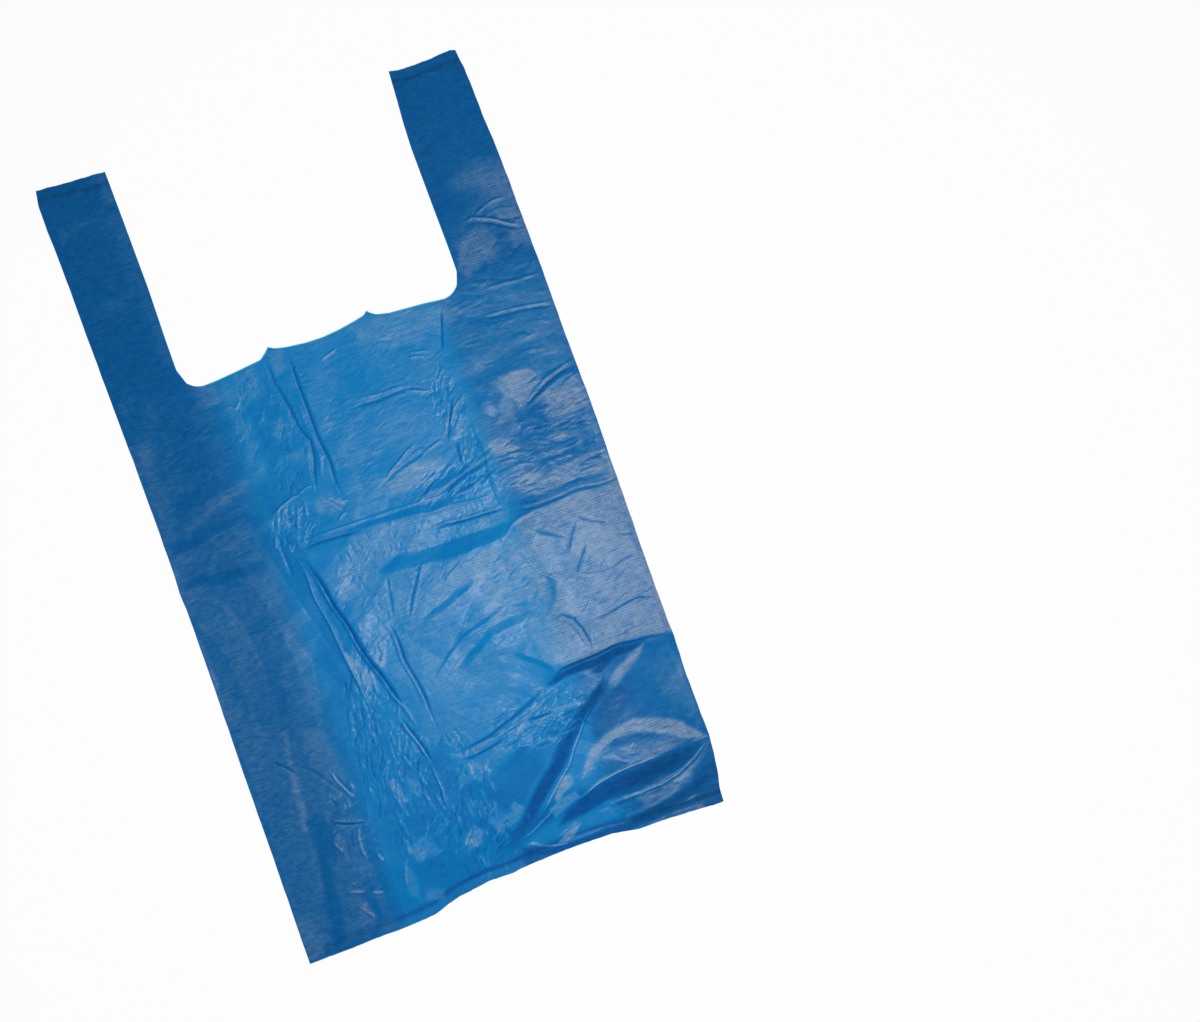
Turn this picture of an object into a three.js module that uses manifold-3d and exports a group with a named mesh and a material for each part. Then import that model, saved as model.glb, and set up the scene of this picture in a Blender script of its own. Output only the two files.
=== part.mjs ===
// A vest carrier bag of thin film, lying flat on its back panel.
// Millimetres, +Z up, +Y towards the handles, +X to the right.
//
// The bag is made as the real one is. A tube of film is laid flat with a gusset folded in at each
// side, so that four layers lie there and two in the middle. It is welded across the bottom and
// across the top of the handles, and a die cuts the mouth and the handles through every layer.
// The front panel stands off the back panel, because the bag lies loose, and it carries the folds.

import * as THREE from 'three';
import Module from 'manifold-3d';

// Driving dimensions
const BAG_WIDTH = 257;
const BAG_LENGTH = 468;
const GUSSET_DEPTH = 62;
const FILM_WALL = 0.4;
const LAYER_GAP = 0.35;
const PUFF_HEIGHT = 6.2;
const HANDLE_WIDTH = 43.5;
const HANDLE_LENGTH = 136.5;
const DIE_OFFSET = -2;
const MOUTH_FILLET = 12;
const MOUTH_RISE = 3.5;
const EAR_SPACING = 60;
const EAR_WIDTH = 11;
const EAR_RISE = 4.5;
const SEAL_WIDTH = 2.5;
const SEAL_MARGIN = 5;
const FOLD_SPREAD = 9;
const WELD_RELIEF = 36;
const PANEL_STEP = 9;

// How the bag lies: places are shares of its half width and half length, shifts are millimetres
const LEFT_SWAY = [[-1, 1], [-0.64, 1.9], [-0.2, 2.8], [0.3, 2.5], [0.64, 1.2], [0.85, 0.3], [1, 1.4]];
const RIGHT_SWAY = [[-1, -1], [-0.89, 1.9], [-0.83, 3.6], [-0.79, 2.8], [-0.56, 4.4], [-0.5, 2.4],
  [0.02, 3.2], [0.5, 2.2], [0.8, 0.4], [1, -1.6]];
const BOTTOM_LIFT = [[-1, 0], [-0.5, 1.6], [-0.25, 7.6], [0, 10.2], [0.36, 12.4], [0.6, 9.6], [1, 8.4]];
const TOP_DROP = [[-1, 0], [-0.66, -2.4], [0.66, -3], [1, -4]];
const LIFT_FADES_AT = 0.3;

// The folds of the front panel: where each runs, in the same shares, and how high it stands
const FOLDS = [
  { name: 'gusset_fold_left', height: 1.2, line: [[-0.5, 0.36], [-0.5, -0.86]] },
  { name: 'gusset_fold_right', height: 1.2, line: [[0.5, 0.36], [0.5, -0.12]] },
  { name: 'ear_pleat_left', height: 3, line: [[-0.27, 0.42], [-0.24, 0.28], [-0.23, 0.09]] },
  { name: 'ear_pleat_right', height: 2.4, line: [[-0.17, 0.43], [-0.16, 0.2], [-0.15, 0.09]] },
  { name: 'waist_left', height: 3.2, line: [[-0.94, 0.02], [-0.62, -0.02], [-0.3, -0.03], [0.12, -0.04]] },
  { name: 'waist_strand', height: 2.6, line: [[0.12, -0.025], [0.36, 0], [0.54, 0.035], [0.9, 0.05]] },
  { name: 'waist_right', height: 4, line: [[0.12, -0.1], [0.48, -0.11], [0.64, -0.13], [1, -0.13]] },
  { name: 'hip', height: 1.6, line: [[0.04, -0.16], [0.3, -0.165], [0.5, -0.15]] },
  { name: 'side_pleat_high', height: 3.4, line: [[-0.43, -0.04], [-0.4, -0.25], [-0.34, -0.4]] },
  { name: 'side_pleat_low', height: 2.8, line: [[-0.28, -0.48], [-0.21, -0.58], [-0.16, -0.74]] },
  { name: 'thigh', height: 4, line: [[0, -0.64], [0.27, -0.6], [0.5, -0.55], [0.8, -0.52], [1, -0.545]] },
  { name: 'diagonal', height: 4.2, line: [[0.04, -0.88], [0.24, -0.79], [0.4, -0.7], [0.66, -0.6]] },
  { name: 'swoop_high', height: 3, line: [[0.42, -0.76], [0.62, -0.71], [0.82, -0.7], [0.99, -0.77]] },
  { name: 'swoop_low', height: 3, line: [[0.28, -0.86], [0.54, -0.81], [0.86, -0.79], [0.99, -0.81]] },
  { name: 'hem', height: 2.2, line: [[0.42, -0.89], [0.64, -0.875], [0.9, -0.86], [0.99, -0.83]] },
];

const wasm = await Module();
wasm.setup();

const HALF_WIDTH = BAG_WIDTH / 2;
const HALF_LENGTH = BAG_LENGTH / 2;
const LAYER_PITCH = FILM_WALL + LAYER_GAP;
const MOUTH_Y = HALF_LENGTH - HANDLE_LENGTH;
const MOUTH_HALF_WIDTH = HALF_WIDTH - HANDLE_WIDTH;
const NOSE_X = HALF_WIDTH - GUSSET_DEPTH;
const BOTTOM_SEAL = -HALF_LENGTH + SEAL_MARGIN;
const HANDLE_SEAL = HALF_LENGTH - SEAL_MARGIN - SEAL_WIDTH;

// Joins the places of a list of pairs with straight stretches, as a graph does
function along(pairs, place) {
  let last = pairs[0];
  for (const next of pairs) {
    if (place <= next[0]) {
      const share = next[0] > last[0] ? (place - last[0]) / (next[0] - last[0]) : 0;
      return THREE.MathUtils.lerp(last[1], next[1], Math.max(share, 0));
    }
    last = next;
  }
  return last[1];
}

// Moves a place on the flat, straight bag to where it lies on the table
function lie(x, y) {
  const across = x / HALF_WIDTH;
  const up = y / HALF_LENGTH;
  const rightShare = (across + 1) / 2;
  const sway = THREE.MathUtils.lerp(along(LEFT_SWAY, up), along(RIGHT_SWAY, up), rightShare);
  const low = 1 - THREE.MathUtils.smoothstep(up, -1, LIFT_FADES_AT);
  const high = THREE.MathUtils.smoothstep(up, 0.5, 1);
  return [x + sway, y + low * along(BOTTOM_LIFT, across) + high * along(TOP_DROP, across)];
}

// The distance from a place to the nearest point of a fold's line
const nearest = new THREE.Vector3();
function distanceTo(stretches, place) {
  let least = Infinity;
  for (const stretch of stretches) {
    stretch.closestPointToPoint(place, true, nearest);
    least = Math.min(least, nearest.distanceTo(place));
  }
  return least;
}

const foldLines = FOLDS.map(({ height, line }) => {
  const points = line.map(([across, up]) => new THREE.Vector3(across * HALF_WIDTH, up * HALF_LENGTH, 0));
  const stretches = points.slice(1).map((end, i) => new THREE.Line3(points[i], end));
  return { height, stretches };
});

// The height that the folds add to the front panel: each is a ridge with straight flanks
function foldHeight(x, y) {
  const place = new THREE.Vector3(x, y, 0);
  let sum = 0;
  for (const { height, stretches } of foldLines) {
    sum += height * Math.max(0, 1 - distanceTo(stretches, place) / FOLD_SPREAD);
  }
  return sum;
}

// How loose the film lies along the bag: 0 at the bottom weld and up the handles, 1 in the body
function slack(y) {
  const weldEnd = BOTTOM_SEAL + SEAL_WIDTH;
  const fromWeld = THREE.MathUtils.smoothstep(y, weldEnd, weldEnd + WELD_RELIEF);
  const upHandle = THREE.MathUtils.smoothstep(y, MOUTH_Y, HANDLE_SEAL - WELD_RELIEF);
  return fromWeld * (1 - upHandle);
}

// The underside of the front panel. It lies on three layers over a gusset and on one in the middle,
// and the loose film stands off them, least at the folded edges
function frontHeight(x, y) {
  const fromEdge = HALF_WIDTH - Math.abs(x);
  const pastGusset = THREE.MathUtils.smoothstep(fromEdge, GUSSET_DEPTH, GUSSET_DEPTH + FOLD_SPREAD);
  const stack = LAYER_PITCH * (3 - 2 * pastGusset);
  const puff = PUFF_HEIGHT * THREE.MathUtils.smoothstep(fromEdge, 0, GUSSET_DEPTH);
  const creases = foldHeight(x, y) * THREE.MathUtils.smoothstep(fromEdge, 0, FOLD_SPREAD);
  return stack + slack(y) * (puff + creases);
}

// Evenly spaced places between two ends, the ends included
function spaced(from, to) {
  const count = Math.max(1, Math.round((to - from) / PANEL_STEP));
  return Array.from({ length: count + 1 }, (_, i) => THREE.MathUtils.lerp(from, to, i / count));
}

const COLUMNS = [
  ...spaced(-HALF_WIDTH, -NOSE_X),
  ...spaced(-NOSE_X, NOSE_X).slice(1, -1),
  ...spaced(NOSE_X, HALF_WIDTH),
];
const ROWS = [
  -HALF_LENGTH,
  BOTTOM_SEAL,
  ...spaced(BOTTOM_SEAL + SEAL_WIDTH, HANDLE_SEAL),
  HANDLE_SEAL + SEAL_WIDTH,
  HALF_LENGTH,
];

// One row of the film's section: its outer face and its inner face, as loops with points in step
function sectionAt(y) {
  const [first, second, third] = [0, 1, 2].map((layer) => layer * LAYER_PITCH);
  const outer = COLUMNS.map((x) => [x, frontHeight(x, y) + FILM_WALL]);
  const inner = COLUMNS.map((x) => {
    const kept = THREE.MathUtils.clamp(x, FILM_WALL - HALF_WIDTH, HALF_WIDTH - FILM_WALL);
    return [kept, frontHeight(x, y)];
  });
  const pocket = [
    [[HALF_WIDTH, third], [HALF_WIDTH - FILM_WALL, third + FILM_WALL]],
    [[NOSE_X + FILM_WALL, third], [NOSE_X, third + FILM_WALL]],
    [[NOSE_X + FILM_WALL, second + FILM_WALL], [NOSE_X, second]],
    [[HALF_WIDTH, second + FILM_WALL], [HALF_WIDTH - FILM_WALL, second]],
    [[HALF_WIDTH, first], [HALF_WIDTH - FILM_WALL, first + FILM_WALL]],
  ];
  const mirrored = pocket.map((pair) => pair.map(([x, z]) => [-x, z])).reverse();
  for (const [outerPoint, innerPoint] of [...pocket, ...mirrored]) {
    outer.push(outerPoint);
    inner.push(innerPoint);
  }
  return { outer, inner };
}

// Makes a solid from vertices and faces, each face turning anticlockwise as seen from outside
function solidFrom(vertices, faces) {
  const triangles = faces.flatMap(([a, b, c, d]) => (d === undefined ? [a, b, c] : [a, b, c, a, c, d]));
  const mesh = new wasm.Mesh({
    numProp: 3,
    vertProperties: new Float32Array(vertices.flat()),
    triVerts: new Uint32Array(triangles),
  });
  return new wasm.Manifold(mesh);
}

// The tube of film: its section at every row, joined into one wall that is open at both ends
function filmTube() {
  const vertices = [];
  for (const y of ROWS) {
    const { outer, inner } = sectionAt(y);
    for (const [x, z] of [...outer, ...inner]) {
      vertices.push([...lie(x, y), z]);
    }
  }
  const loop = COLUMNS.length + 10;
  const outerAt = (row, i) => row * 2 * loop + (i % loop);
  const innerAt = (row, i) => outerAt(row, i) + loop;
  const quads = [];
  const lastRow = ROWS.length - 1;
  for (let i = 0; i < loop; i++) {
    for (let row = 0; row < lastRow; row++) {
      quads.push([outerAt(row, i), outerAt(row, i + 1), outerAt(row + 1, i + 1), outerAt(row + 1, i)]);
      quads.push([innerAt(row, i + 1), innerAt(row, i), innerAt(row + 1, i), innerAt(row + 1, i + 1)]);
    }
    const next = i + 1;
    quads.push([outerAt(0, next), outerAt(0, i), innerAt(0, i), innerAt(0, next)]);
    quads.push([outerAt(lastRow, i), outerAt(lastRow, next), innerAt(lastRow, next), innerAt(lastRow, i)]);
  }
  return solidFrom(vertices, quads);
}

// A weld: a strip across the bag where all the layers are one, from the back panel up to the front one
function weld(from) {
  const vertices = [];
  const inset = FILM_WALL / 2;
  for (const y of [from, from + SEAL_WIDTH]) {
    for (const x of COLUMNS) {
      const place = lie(THREE.MathUtils.clamp(x, inset - HALF_WIDTH, HALF_WIDTH - inset), y);
      vertices.push([...place, inset], [...place, frontHeight(x, y) + inset]);
    }
  }
  const count = COLUMNS.length;
  const at = (row, i, top) => (row * count + i) * 2 + top;
  const quads = [];
  for (let i = 0; i < count - 1; i++) {
    quads.push([at(0, i, 1), at(0, i + 1, 1), at(1, i + 1, 1), at(1, i, 1)]);
    quads.push([at(0, i + 1, 0), at(0, i, 0), at(1, i, 0), at(1, i + 1, 0)]);
    quads.push([at(0, i, 0), at(0, i + 1, 0), at(0, i + 1, 1), at(0, i, 1)]);
    quads.push([at(1, i + 1, 0), at(1, i, 0), at(1, i, 1), at(1, i + 1, 1)]);
  }
  const end = count - 1;
  quads.push([at(0, end, 0), at(1, end, 0), at(1, end, 1), at(0, end, 1)]);
  quads.push([at(1, 0, 0), at(0, 0, 0), at(0, 0, 1), at(1, 0, 1)]);
  return solidFrom(vertices, quads);
}

// The die that cuts the mouth: a fillet at the root of each handle, and a small ear at each end of
// the edge where the bag was torn off its pack
function dieShape() {
  const top = HALF_LENGTH + HANDLE_WIDTH;
  const ear = EAR_SPACING / 2;
  const middle = MOUTH_Y + MOUTH_RISE;
  const tip = middle + EAR_RISE;
  const filletX = MOUTH_HALF_WIDTH - MOUTH_FILLET;
  const filletY = MOUTH_Y + MOUTH_FILLET;
  const shape = new THREE.Shape();
  shape.moveTo(-MOUTH_HALF_WIDTH, top);
  shape.lineTo(-MOUTH_HALF_WIDTH, filletY);
  shape.absarc(-filletX, filletY, MOUTH_FILLET, Math.PI, 1.5 * Math.PI);
  shape.quadraticCurveTo(-ear - EAR_WIDTH, MOUTH_Y, -ear, tip);
  shape.quadraticCurveTo(-ear + EAR_WIDTH / 2, middle, -ear + EAR_WIDTH, middle);
  shape.lineTo(ear - EAR_WIDTH, middle);
  shape.quadraticCurveTo(ear - EAR_WIDTH / 2, middle, ear, tip);
  shape.quadraticCurveTo(ear + EAR_WIDTH, MOUTH_Y, filletX, MOUTH_Y);
  shape.absarc(filletX, filletY, MOUTH_FILLET, 1.5 * Math.PI, 2 * Math.PI);
  shape.lineTo(MOUTH_HALF_WIDTH, top);
  return shape;
}

// The die's outline as a prism that reaches through every layer
function diePrism() {
  const outline = dieShape().getPoints(6);
  const isApart = (point, i) => point.distanceTo(outline[(i + 1) % outline.length]) > FILM_WALL;
  const ring = outline.filter(isApart);
  const count = ring.length;
  const reach = BAG_WIDTH;
  const cutAt = (point) => lie(point.x + DIE_OFFSET, point.y);
  const vertices = [-reach, reach].flatMap((z) => ring.map((point) => [...cutAt(point), z]));
  const below = THREE.ShapeUtils.triangulateShape(ring, []).map(([a, b, c]) => [c, b, a]);
  const above = below.map((face) => face.map((i) => i + count).reverse());
  const sides = ring.map((point, i) => {
    const next = (i + 1) % count;
    return [i, next, count + next, count + i];
  });
  return solidFrom(vertices, [...below, ...above, ...sides]);
}

// The finished solid as a geometry, with its origin below the middle of its box
function bagGeometry(solid) {
  const { vertProperties, triVerts } = solid.getMesh();
  const geometry = new THREE.BufferGeometry();
  geometry.setAttribute('position', new THREE.BufferAttribute(new Float32Array(vertProperties), 3));
  geometry.setIndex(new THREE.BufferAttribute(new Uint32Array(triVerts), 1));
  geometry.computeBoundingBox();
  const centre = geometry.boundingBox.getCenter(new THREE.Vector3());
  geometry.translate(-centre.x, -centre.y, -geometry.boundingBox.min.z);
  geometry.computeVertexNormals();
  return geometry;
}

const welded = filmTube().add(weld(BOTTOM_SEAL)).add(weld(HANDLE_SEAL));
const solid = welded.subtract(diePrism());
const film = new THREE.MeshStandardMaterial({ color: 0x1c78bd, roughness: 0.35, metalness: 0 });
const carrierBag = new THREE.Mesh(bagGeometry(solid), film);
carrierBag.name = 'carrier_bag';

const bag = new THREE.Group();
bag.add(carrierBag);

export default bag;
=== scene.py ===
# %% [markdown]
# # A carrier bag of thin film
#
# A vest carrier is one tube of blue film. It is laid flat with a gusset folded in at each side, welded at
# the bottom and at the tops of its handles, and die-cut through all its layers. It has been unpacked and
# laid down again, so the front panel lies loose and is full of creases. What makes it look like film is the
# way that those creases catch one lamp, while the layers underneath turn the blue darker wherever four of
# them lie on each other. Here the creases catch the lamp partly through real gloss and partly through
# highlight and shade painted into the film's tone.
#
# Lengths are millimetres, and become metres when a mesh is written. Only the heights of the lamp
# and the camera, the lamp's size, the table's reach and the depth of a bump are given in metres.

# %% Load the frame
import math

import bpy
import numpy as np
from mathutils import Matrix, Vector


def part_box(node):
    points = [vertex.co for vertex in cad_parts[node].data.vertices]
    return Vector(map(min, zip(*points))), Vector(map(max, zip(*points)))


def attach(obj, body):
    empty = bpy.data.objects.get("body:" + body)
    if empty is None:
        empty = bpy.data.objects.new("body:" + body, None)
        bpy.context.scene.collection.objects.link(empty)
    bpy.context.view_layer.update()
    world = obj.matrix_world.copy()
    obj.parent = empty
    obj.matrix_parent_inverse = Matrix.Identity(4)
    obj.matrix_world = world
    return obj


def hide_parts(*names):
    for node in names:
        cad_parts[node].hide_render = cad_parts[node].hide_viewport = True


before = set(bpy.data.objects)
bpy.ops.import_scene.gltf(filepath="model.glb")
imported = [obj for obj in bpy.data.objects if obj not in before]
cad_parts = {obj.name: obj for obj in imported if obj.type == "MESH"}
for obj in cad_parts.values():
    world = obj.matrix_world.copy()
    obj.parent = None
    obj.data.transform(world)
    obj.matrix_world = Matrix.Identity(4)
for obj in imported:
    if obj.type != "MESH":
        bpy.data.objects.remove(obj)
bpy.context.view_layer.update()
low, high = (np.array(corner) * 1000.0 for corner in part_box("carrier_bag"))
MM = 0.001
WIDTH = high[0] - low[0]
LENGTH = high[1] - low[1]
HALF = LENGTH / 2
print("bag", WIDTH, "by", LENGTH, "mm, and", high[2] - low[2], "high")

# %% [markdown]
# ## The outline
#
# The bag was cut square, but it doesn't lie square: its folds take up some length on the right, and the
# sides lean. The outline is read from the photograph as some twenty points on each edge. Between them it
# runs straight, apart from a slight waver and the mouth's round corners.

# %% The traced edges
LEFT_EDGE = [
    (-234, -127), (-200, -126.7), (-150, -126.5), (-100, -126.2), (-50, -125.7), (-20, -125.7),
    (-10, -126.4), (0, -125.9), (30, -125.8), (70, -126), (100, -126.7), (150, -127.2), (180, -127.5),
    (200, -128), (210, -128.4), (225, -128.3), (234, -127),
]
RIGHT_EDGE = [
    (-234, 127), (-226, 127.4), (-214, 129.6), (-202, 131), (-192, 131.7), (-180, 131.5), (-150, 131.2),
    (-134, 131.5), (-127, 131.9), (-118, 131.3), (-60, 131.3), (-30, 131.5), (5, 131.8), (40, 131.3),
    (70, 131), (100, 130.8), (125, 130.5), (150, 130), (170, 129.5), (190, 128.5), (210, 128),
    (222, 127.3), (228, 126.3), (234, 126),
]
BOTTOM_EDGE = [
    (-128, -234.3), (-110, -234), (-90, -233.3), (-80, -232.9), (-70, -233), (-60, -232.5), (-50, -231.5),
    (-45, -230), (-40, -228.3), (-33, -226.5), (-25, -225.4), (-15, -224), (0, -224), (5, -223.3),
    (25, -222), (47, -221.6), (61, -222), (77, -224.5), (94, -224.4), (109, -225.1), (124.6, -225.9),
    (130, -225.2),
]
HANDLE_TOPS = [
    (-128, 234.3), (-120, 234), (-110, 233), (-100, 232.5), (-90, 232), (-86, 231.5), (86, 231.3),
    (90, 230.5), (95, 230), (105, 230), (113, 230.3), (118, 231), (123, 231), (126, 230.2), (130, 230),
]
QUARTER = [math.radians(degrees) for degrees in range(90, -1, -10)]
MOUTH_EDGE = [(-72.5 - 13 * math.sin(a), 111 - 14 * math.cos(a)) for a in QUARTER] + [
    (-65, 97.3), (-50, 98.7), (-38, 100), (-34, 103), (-31.5, 105.5), (-28, 103.5), (-23, 102.3),
    (-20, 101.8), (-10, 100.6), (0, 100.4), (10, 101.3), (20, 103), (26, 104.3), (28.5, 106.3),
    (30, 104.5), (33, 102.5), (40, 100.8), (50, 100), (60, 99.3), (68, 98.3),
] + [(72.5 + 12 * math.sin(a), 111 - 13.2 * math.cos(a)) for a in reversed(QUARTER)]
INNER_LEFT = [(-234, -85.5), (111, -85.5), (130, -85.5), (160, -85), (200, -85.5), (234, -86)]
INNER_RIGHT = [(-234, 84.5), (125, 84.5), (150, 84), (185, 83.5), (200, 84), (215, 85), (234, 86)]
NOSE_LEFT = [(-234, -66), (-120, -65.5), (-20, -65), (40, -64), (234, -65)]
NOSE_RIGHT = [(-234, 66), (-60, 66.5), (-20, 64), (10, 64), (60, 65.5), (110, 67), (234, 67)]
HANDLE_ROOT = 111.0
CENTRE_X = (min(x for _, x in LEFT_EDGE) + max(x for _, x in RIGHT_EDGE)) / 2
print("the outline is", max(x for _, x in RIGHT_EDGE) - min(x for _, x in LEFT_EDGE), "mm wide")


# %% A grid that follows the outline
BANDS = 5
WANDER_WAVES = 5
ROWS_BEND_BELOW = -140.0
ROWS_BEND_ABOVE = 200.0
MOUTH_BENDS_ABOVE = 50.0


def read_off(pairs, places):
    """The traced line at each place, with straight stretches between its points."""
    points = np.array(sorted(pairs), float)
    return np.interp(places, points[:, 0], points[:, 1])


def ease(t):
    """A step from 0 to 1 with no corner at either end: 3 t squared less 2 t cubed."""
    t = np.clip(t, 0.0, 1.0)
    return t * t * (3.0 - 2.0 * t)


def wander(t, seed, size, slowest):
    """A smooth line that wanders about 0: a sum of ever shorter sines, whose starts are drawn at random."""
    rng = np.random.default_rng(seed)
    total = np.zeros_like(t)
    for k in range(WANDER_WAVES):
        total += np.sin(2 * np.pi * (t / slowest * (1 + 1.7 * k) + rng.random())) / (1 + 0.8 * k)
    return size * total / WANDER_WAVES


def stretched(y, start, end, wanted):
    """The places past start, stretched evenly so that start stays and end comes to what is wanted."""
    return start + (y - start) * (wanted - start) / (end - start)


def plan(step_across, step_along):
    """The bag's plan as rows of points. Columns run from edge to edge in five bands, parted by the
    handles' inner edges and the gussets' noses, and rows bend to meet the cut and the welds."""
    y = np.linspace(-HALF, HALF, int(LENGTH / step_along) + 1)
    root = np.argmin(abs(y - HANDLE_ROOT))
    left = read_off(LEFT_EDGE, y) + wander(y, 3, 0.35, 90)
    right = read_off(RIGHT_EDGE, y) + wander(y, 4, 0.5, 70)
    inner = [read_off(line, y) for line in (INNER_LEFT, NOSE_LEFT, NOSE_RIGHT, INNER_RIGHT)]
    lines = [left, *inner, right]
    bands = []
    marks = [0]
    for start, end in zip(lines[:-1], lines[1:]):
        count = int(round((end[0] - start[0]) / step_across))
        share = np.linspace(0, 1, count + 1)[None, :-1]
        bands.append(start[:, None] * (1 - share) + end[:, None] * share)
        marks.append(marks[-1] + count)
    x = np.hstack(bands + [right[:, None]])
    y = np.repeat(y[:, None], x.shape[1], axis=1)
    bottom = read_off(BOTTOM_EDGE, x[0]) + wander(x[0], 5, 0.4, 25)
    top = read_off(HANDLE_TOPS, x[-1]) + wander(x[-1], 6, 0.5, 9)
    mouth = read_off(MOUTH_EDGE, x[root])
    y = np.where(y < ROWS_BEND_BELOW, stretched(y, ROWS_BEND_BELOW, -HALF, bottom), y)
    y = np.where(y > ROWS_BEND_ABOVE, stretched(y, ROWS_BEND_ABOVE, HALF, top), y)
    in_mouth = y > MOUTH_BENDS_ABOVE
    in_mouth[root + 1:] = False
    in_mouth[:, :marks[1]] = False
    in_mouth[:, marks[4] + 1:] = False
    y = np.where(in_mouth, stretched(y, MOUTH_BENDS_ABOVE, HANDLE_ROOT, mouth), y)
    return x, y, root, marks


def uncut(x, root, marks, first=0, last=BANDS):
    """True for the quads that the die leaves, from one of the plan's lines to another."""
    keep = np.zeros((x.shape[0] - 1, x.shape[1] - 1), bool)
    keep[:, marks[first]:marks[last]] = True
    keep[root:, marks[1]:marks[4]] = False
    return keep


# %% [markdown]
# ## Folds and tones
#
# A fold in film is sharp along its crest and falls away in two nearly flat flanks, and a ledge is
# one steep face with level film on both sides of it. Both run out in points at their ends. Each
# is added to the panel's height near its own line only.
#
# The film's tone differs from place to place as well. Its pale side is painted sheen: a highlight laid on
# where level film catches the lamp. Its deep side is painted shade, in creases and where film tilts away
# from the lamp, and along folds it is also the darker blue of film lying double. That is kept as one
# number, the tone, from -1 for deep to 1 for pale, and it is laid on like paint: regions, patches, then
# lines.

# %% A panel with height and tone
LINE_WANDER = 0.5
END_REACH = 0.25


def to_line(x, y, points):
    """How far each place lies from a traced line, on which side of it, and how far along it."""
    points = np.array(points, float)
    best = np.full(x.shape, np.inf)
    side = np.zeros(x.shape)
    travel = np.zeros(x.shape)
    walked = 0.0
    for (ax, ay), (bx, by) in zip(points[:-1], points[1:]):
        length = math.hypot(bx - ax, by - ay)
        ux, uy = (bx - ax) / length, (by - ay) / length
        along = np.clip((x - ax) * ux + (y - ay) * uy, 0, length)
        dx, dy = x - ax - along * ux, y - ay - along * uy
        apart = np.hypot(dx, dy)
        nearer = apart < best
        best = np.where(nearer, apart, best)
        side = np.where(nearer, np.sign(ux * dy - uy * dx), side)
        travel = np.where(nearer, walked + along, travel)
        walked += length
    return best, side, travel / walked


def taper(travel, share=0.22):
    """1 along the middle of a line, and less and less towards its two ends."""
    return ease(travel / share) * ease((1 - travel) / share)


class Panel:
    """A sheet's height and tone above each point of its plan. Lines and patches are laid on it
    through coordinates that wander slightly, so that none of them runs quite straight."""

    def __init__(self, x, y):
        self.x = x + LINE_WANDER * np.sin(y / 8.7 + 2.3 * np.sin(x / 13.1 + y / 17.3))
        self.y = y + LINE_WANDER * np.sin(x / 9.1 + 2.3 * np.sin(y / 12.3 - x / 16.7))
        self.height = np.zeros(x.shape)
        self.tone = np.zeros(x.shape)
        self.spans = (x.min(axis=0), x.max(axis=0), y.min(axis=1), y.max(axis=1))

    def near(self, points, reach):
        """The rows and columns that lie within reach of a line's own box."""
        left, low = np.min(points, axis=0) - reach
        right, top = np.max(points, axis=0) + reach
        columns = np.flatnonzero((self.spans[1] > left) & (self.spans[0] < right))
        rows = np.flatnonzero((self.spans[3] > low) & (self.spans[2] < top))
        if len(rows) == 0 or len(columns) == 0:
            return slice(0, 0), slice(0, 0)
        return slice(rows[0], rows[-1] + 1), slice(columns[0], columns[-1] + 1)

    def fold(self, points, height, left, right, blunt):
        """Height times (1 - distance / reach), with a reach on each side, and blunt at its crest."""
        part = self.near(points, max(left, right))
        apart, side, travel = to_line(self.x[part], self.y[part], points)
        fade = taper(travel)
        reach = np.where(side > 0, left, right) * (END_REACH + (1 - END_REACH) * fade)
        apart = np.hypot(apart, blunt) - blunt
        self.height[part] += height * fade * np.clip(1 - apart / reach, 0, 1)

    def ledge(self, points, drop, width, recover):
        """A face that falls by drop from the left of its line to the right, within its width. The
        film on both sides comes back to its own level over the recover length."""
        part = self.near(points, width + recover)
        apart, side, travel = to_line(self.x[part], self.y[part], points)
        fade = taper(travel)
        half = width / 2 * (END_REACH + (1 - END_REACH) * fade)
        face = np.clip(apart / half, 0, 1) * side
        back = np.clip(1 - (apart - half) / recover, 0, 1)
        self.height[part] += drop / 2 * fade * face * back

    def patch(self, corners, tone, blur):
        """Lays a tone inside a polygon, whose edge is blur wide."""
        part = self.near(corners, blur + 2)
        x, y = self.x[part], self.y[part]
        corners = np.array(corners, float)
        within = np.zeros(x.shape, bool)
        for (ax, ay), (bx, by) in zip(corners, np.roll(corners, -1, axis=0)):
            within ^= ((ay > y) != (by > y)) & (x < (bx - ax) * (y - ay) / (by - ay + 1e-12) + ax)
        apart, _, _ = to_line(x, y, np.vstack([corners, corners[:1]]))
        cover = ease(0.5 + np.where(within, apart, -apart) / blur)
        self.tone[part] += (tone - self.tone[part]) * cover

    def stroke(self, points, tone, width, over=1.0):
        """Lays a tone along a line, strongest on it and gone at half its width to each side. With
        over at 1 it covers what is there, and with over at 0 it adds to it."""
        part = self.near(points, width)
        apart, _, travel = to_line(self.x[part], self.y[part], points)
        cover = taper(travel, 0.3) * np.clip(1.5 - 3 * apart / width, 0, 1)
        self.tone[part] += (tone - over * self.tone[part]) * cover


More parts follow.
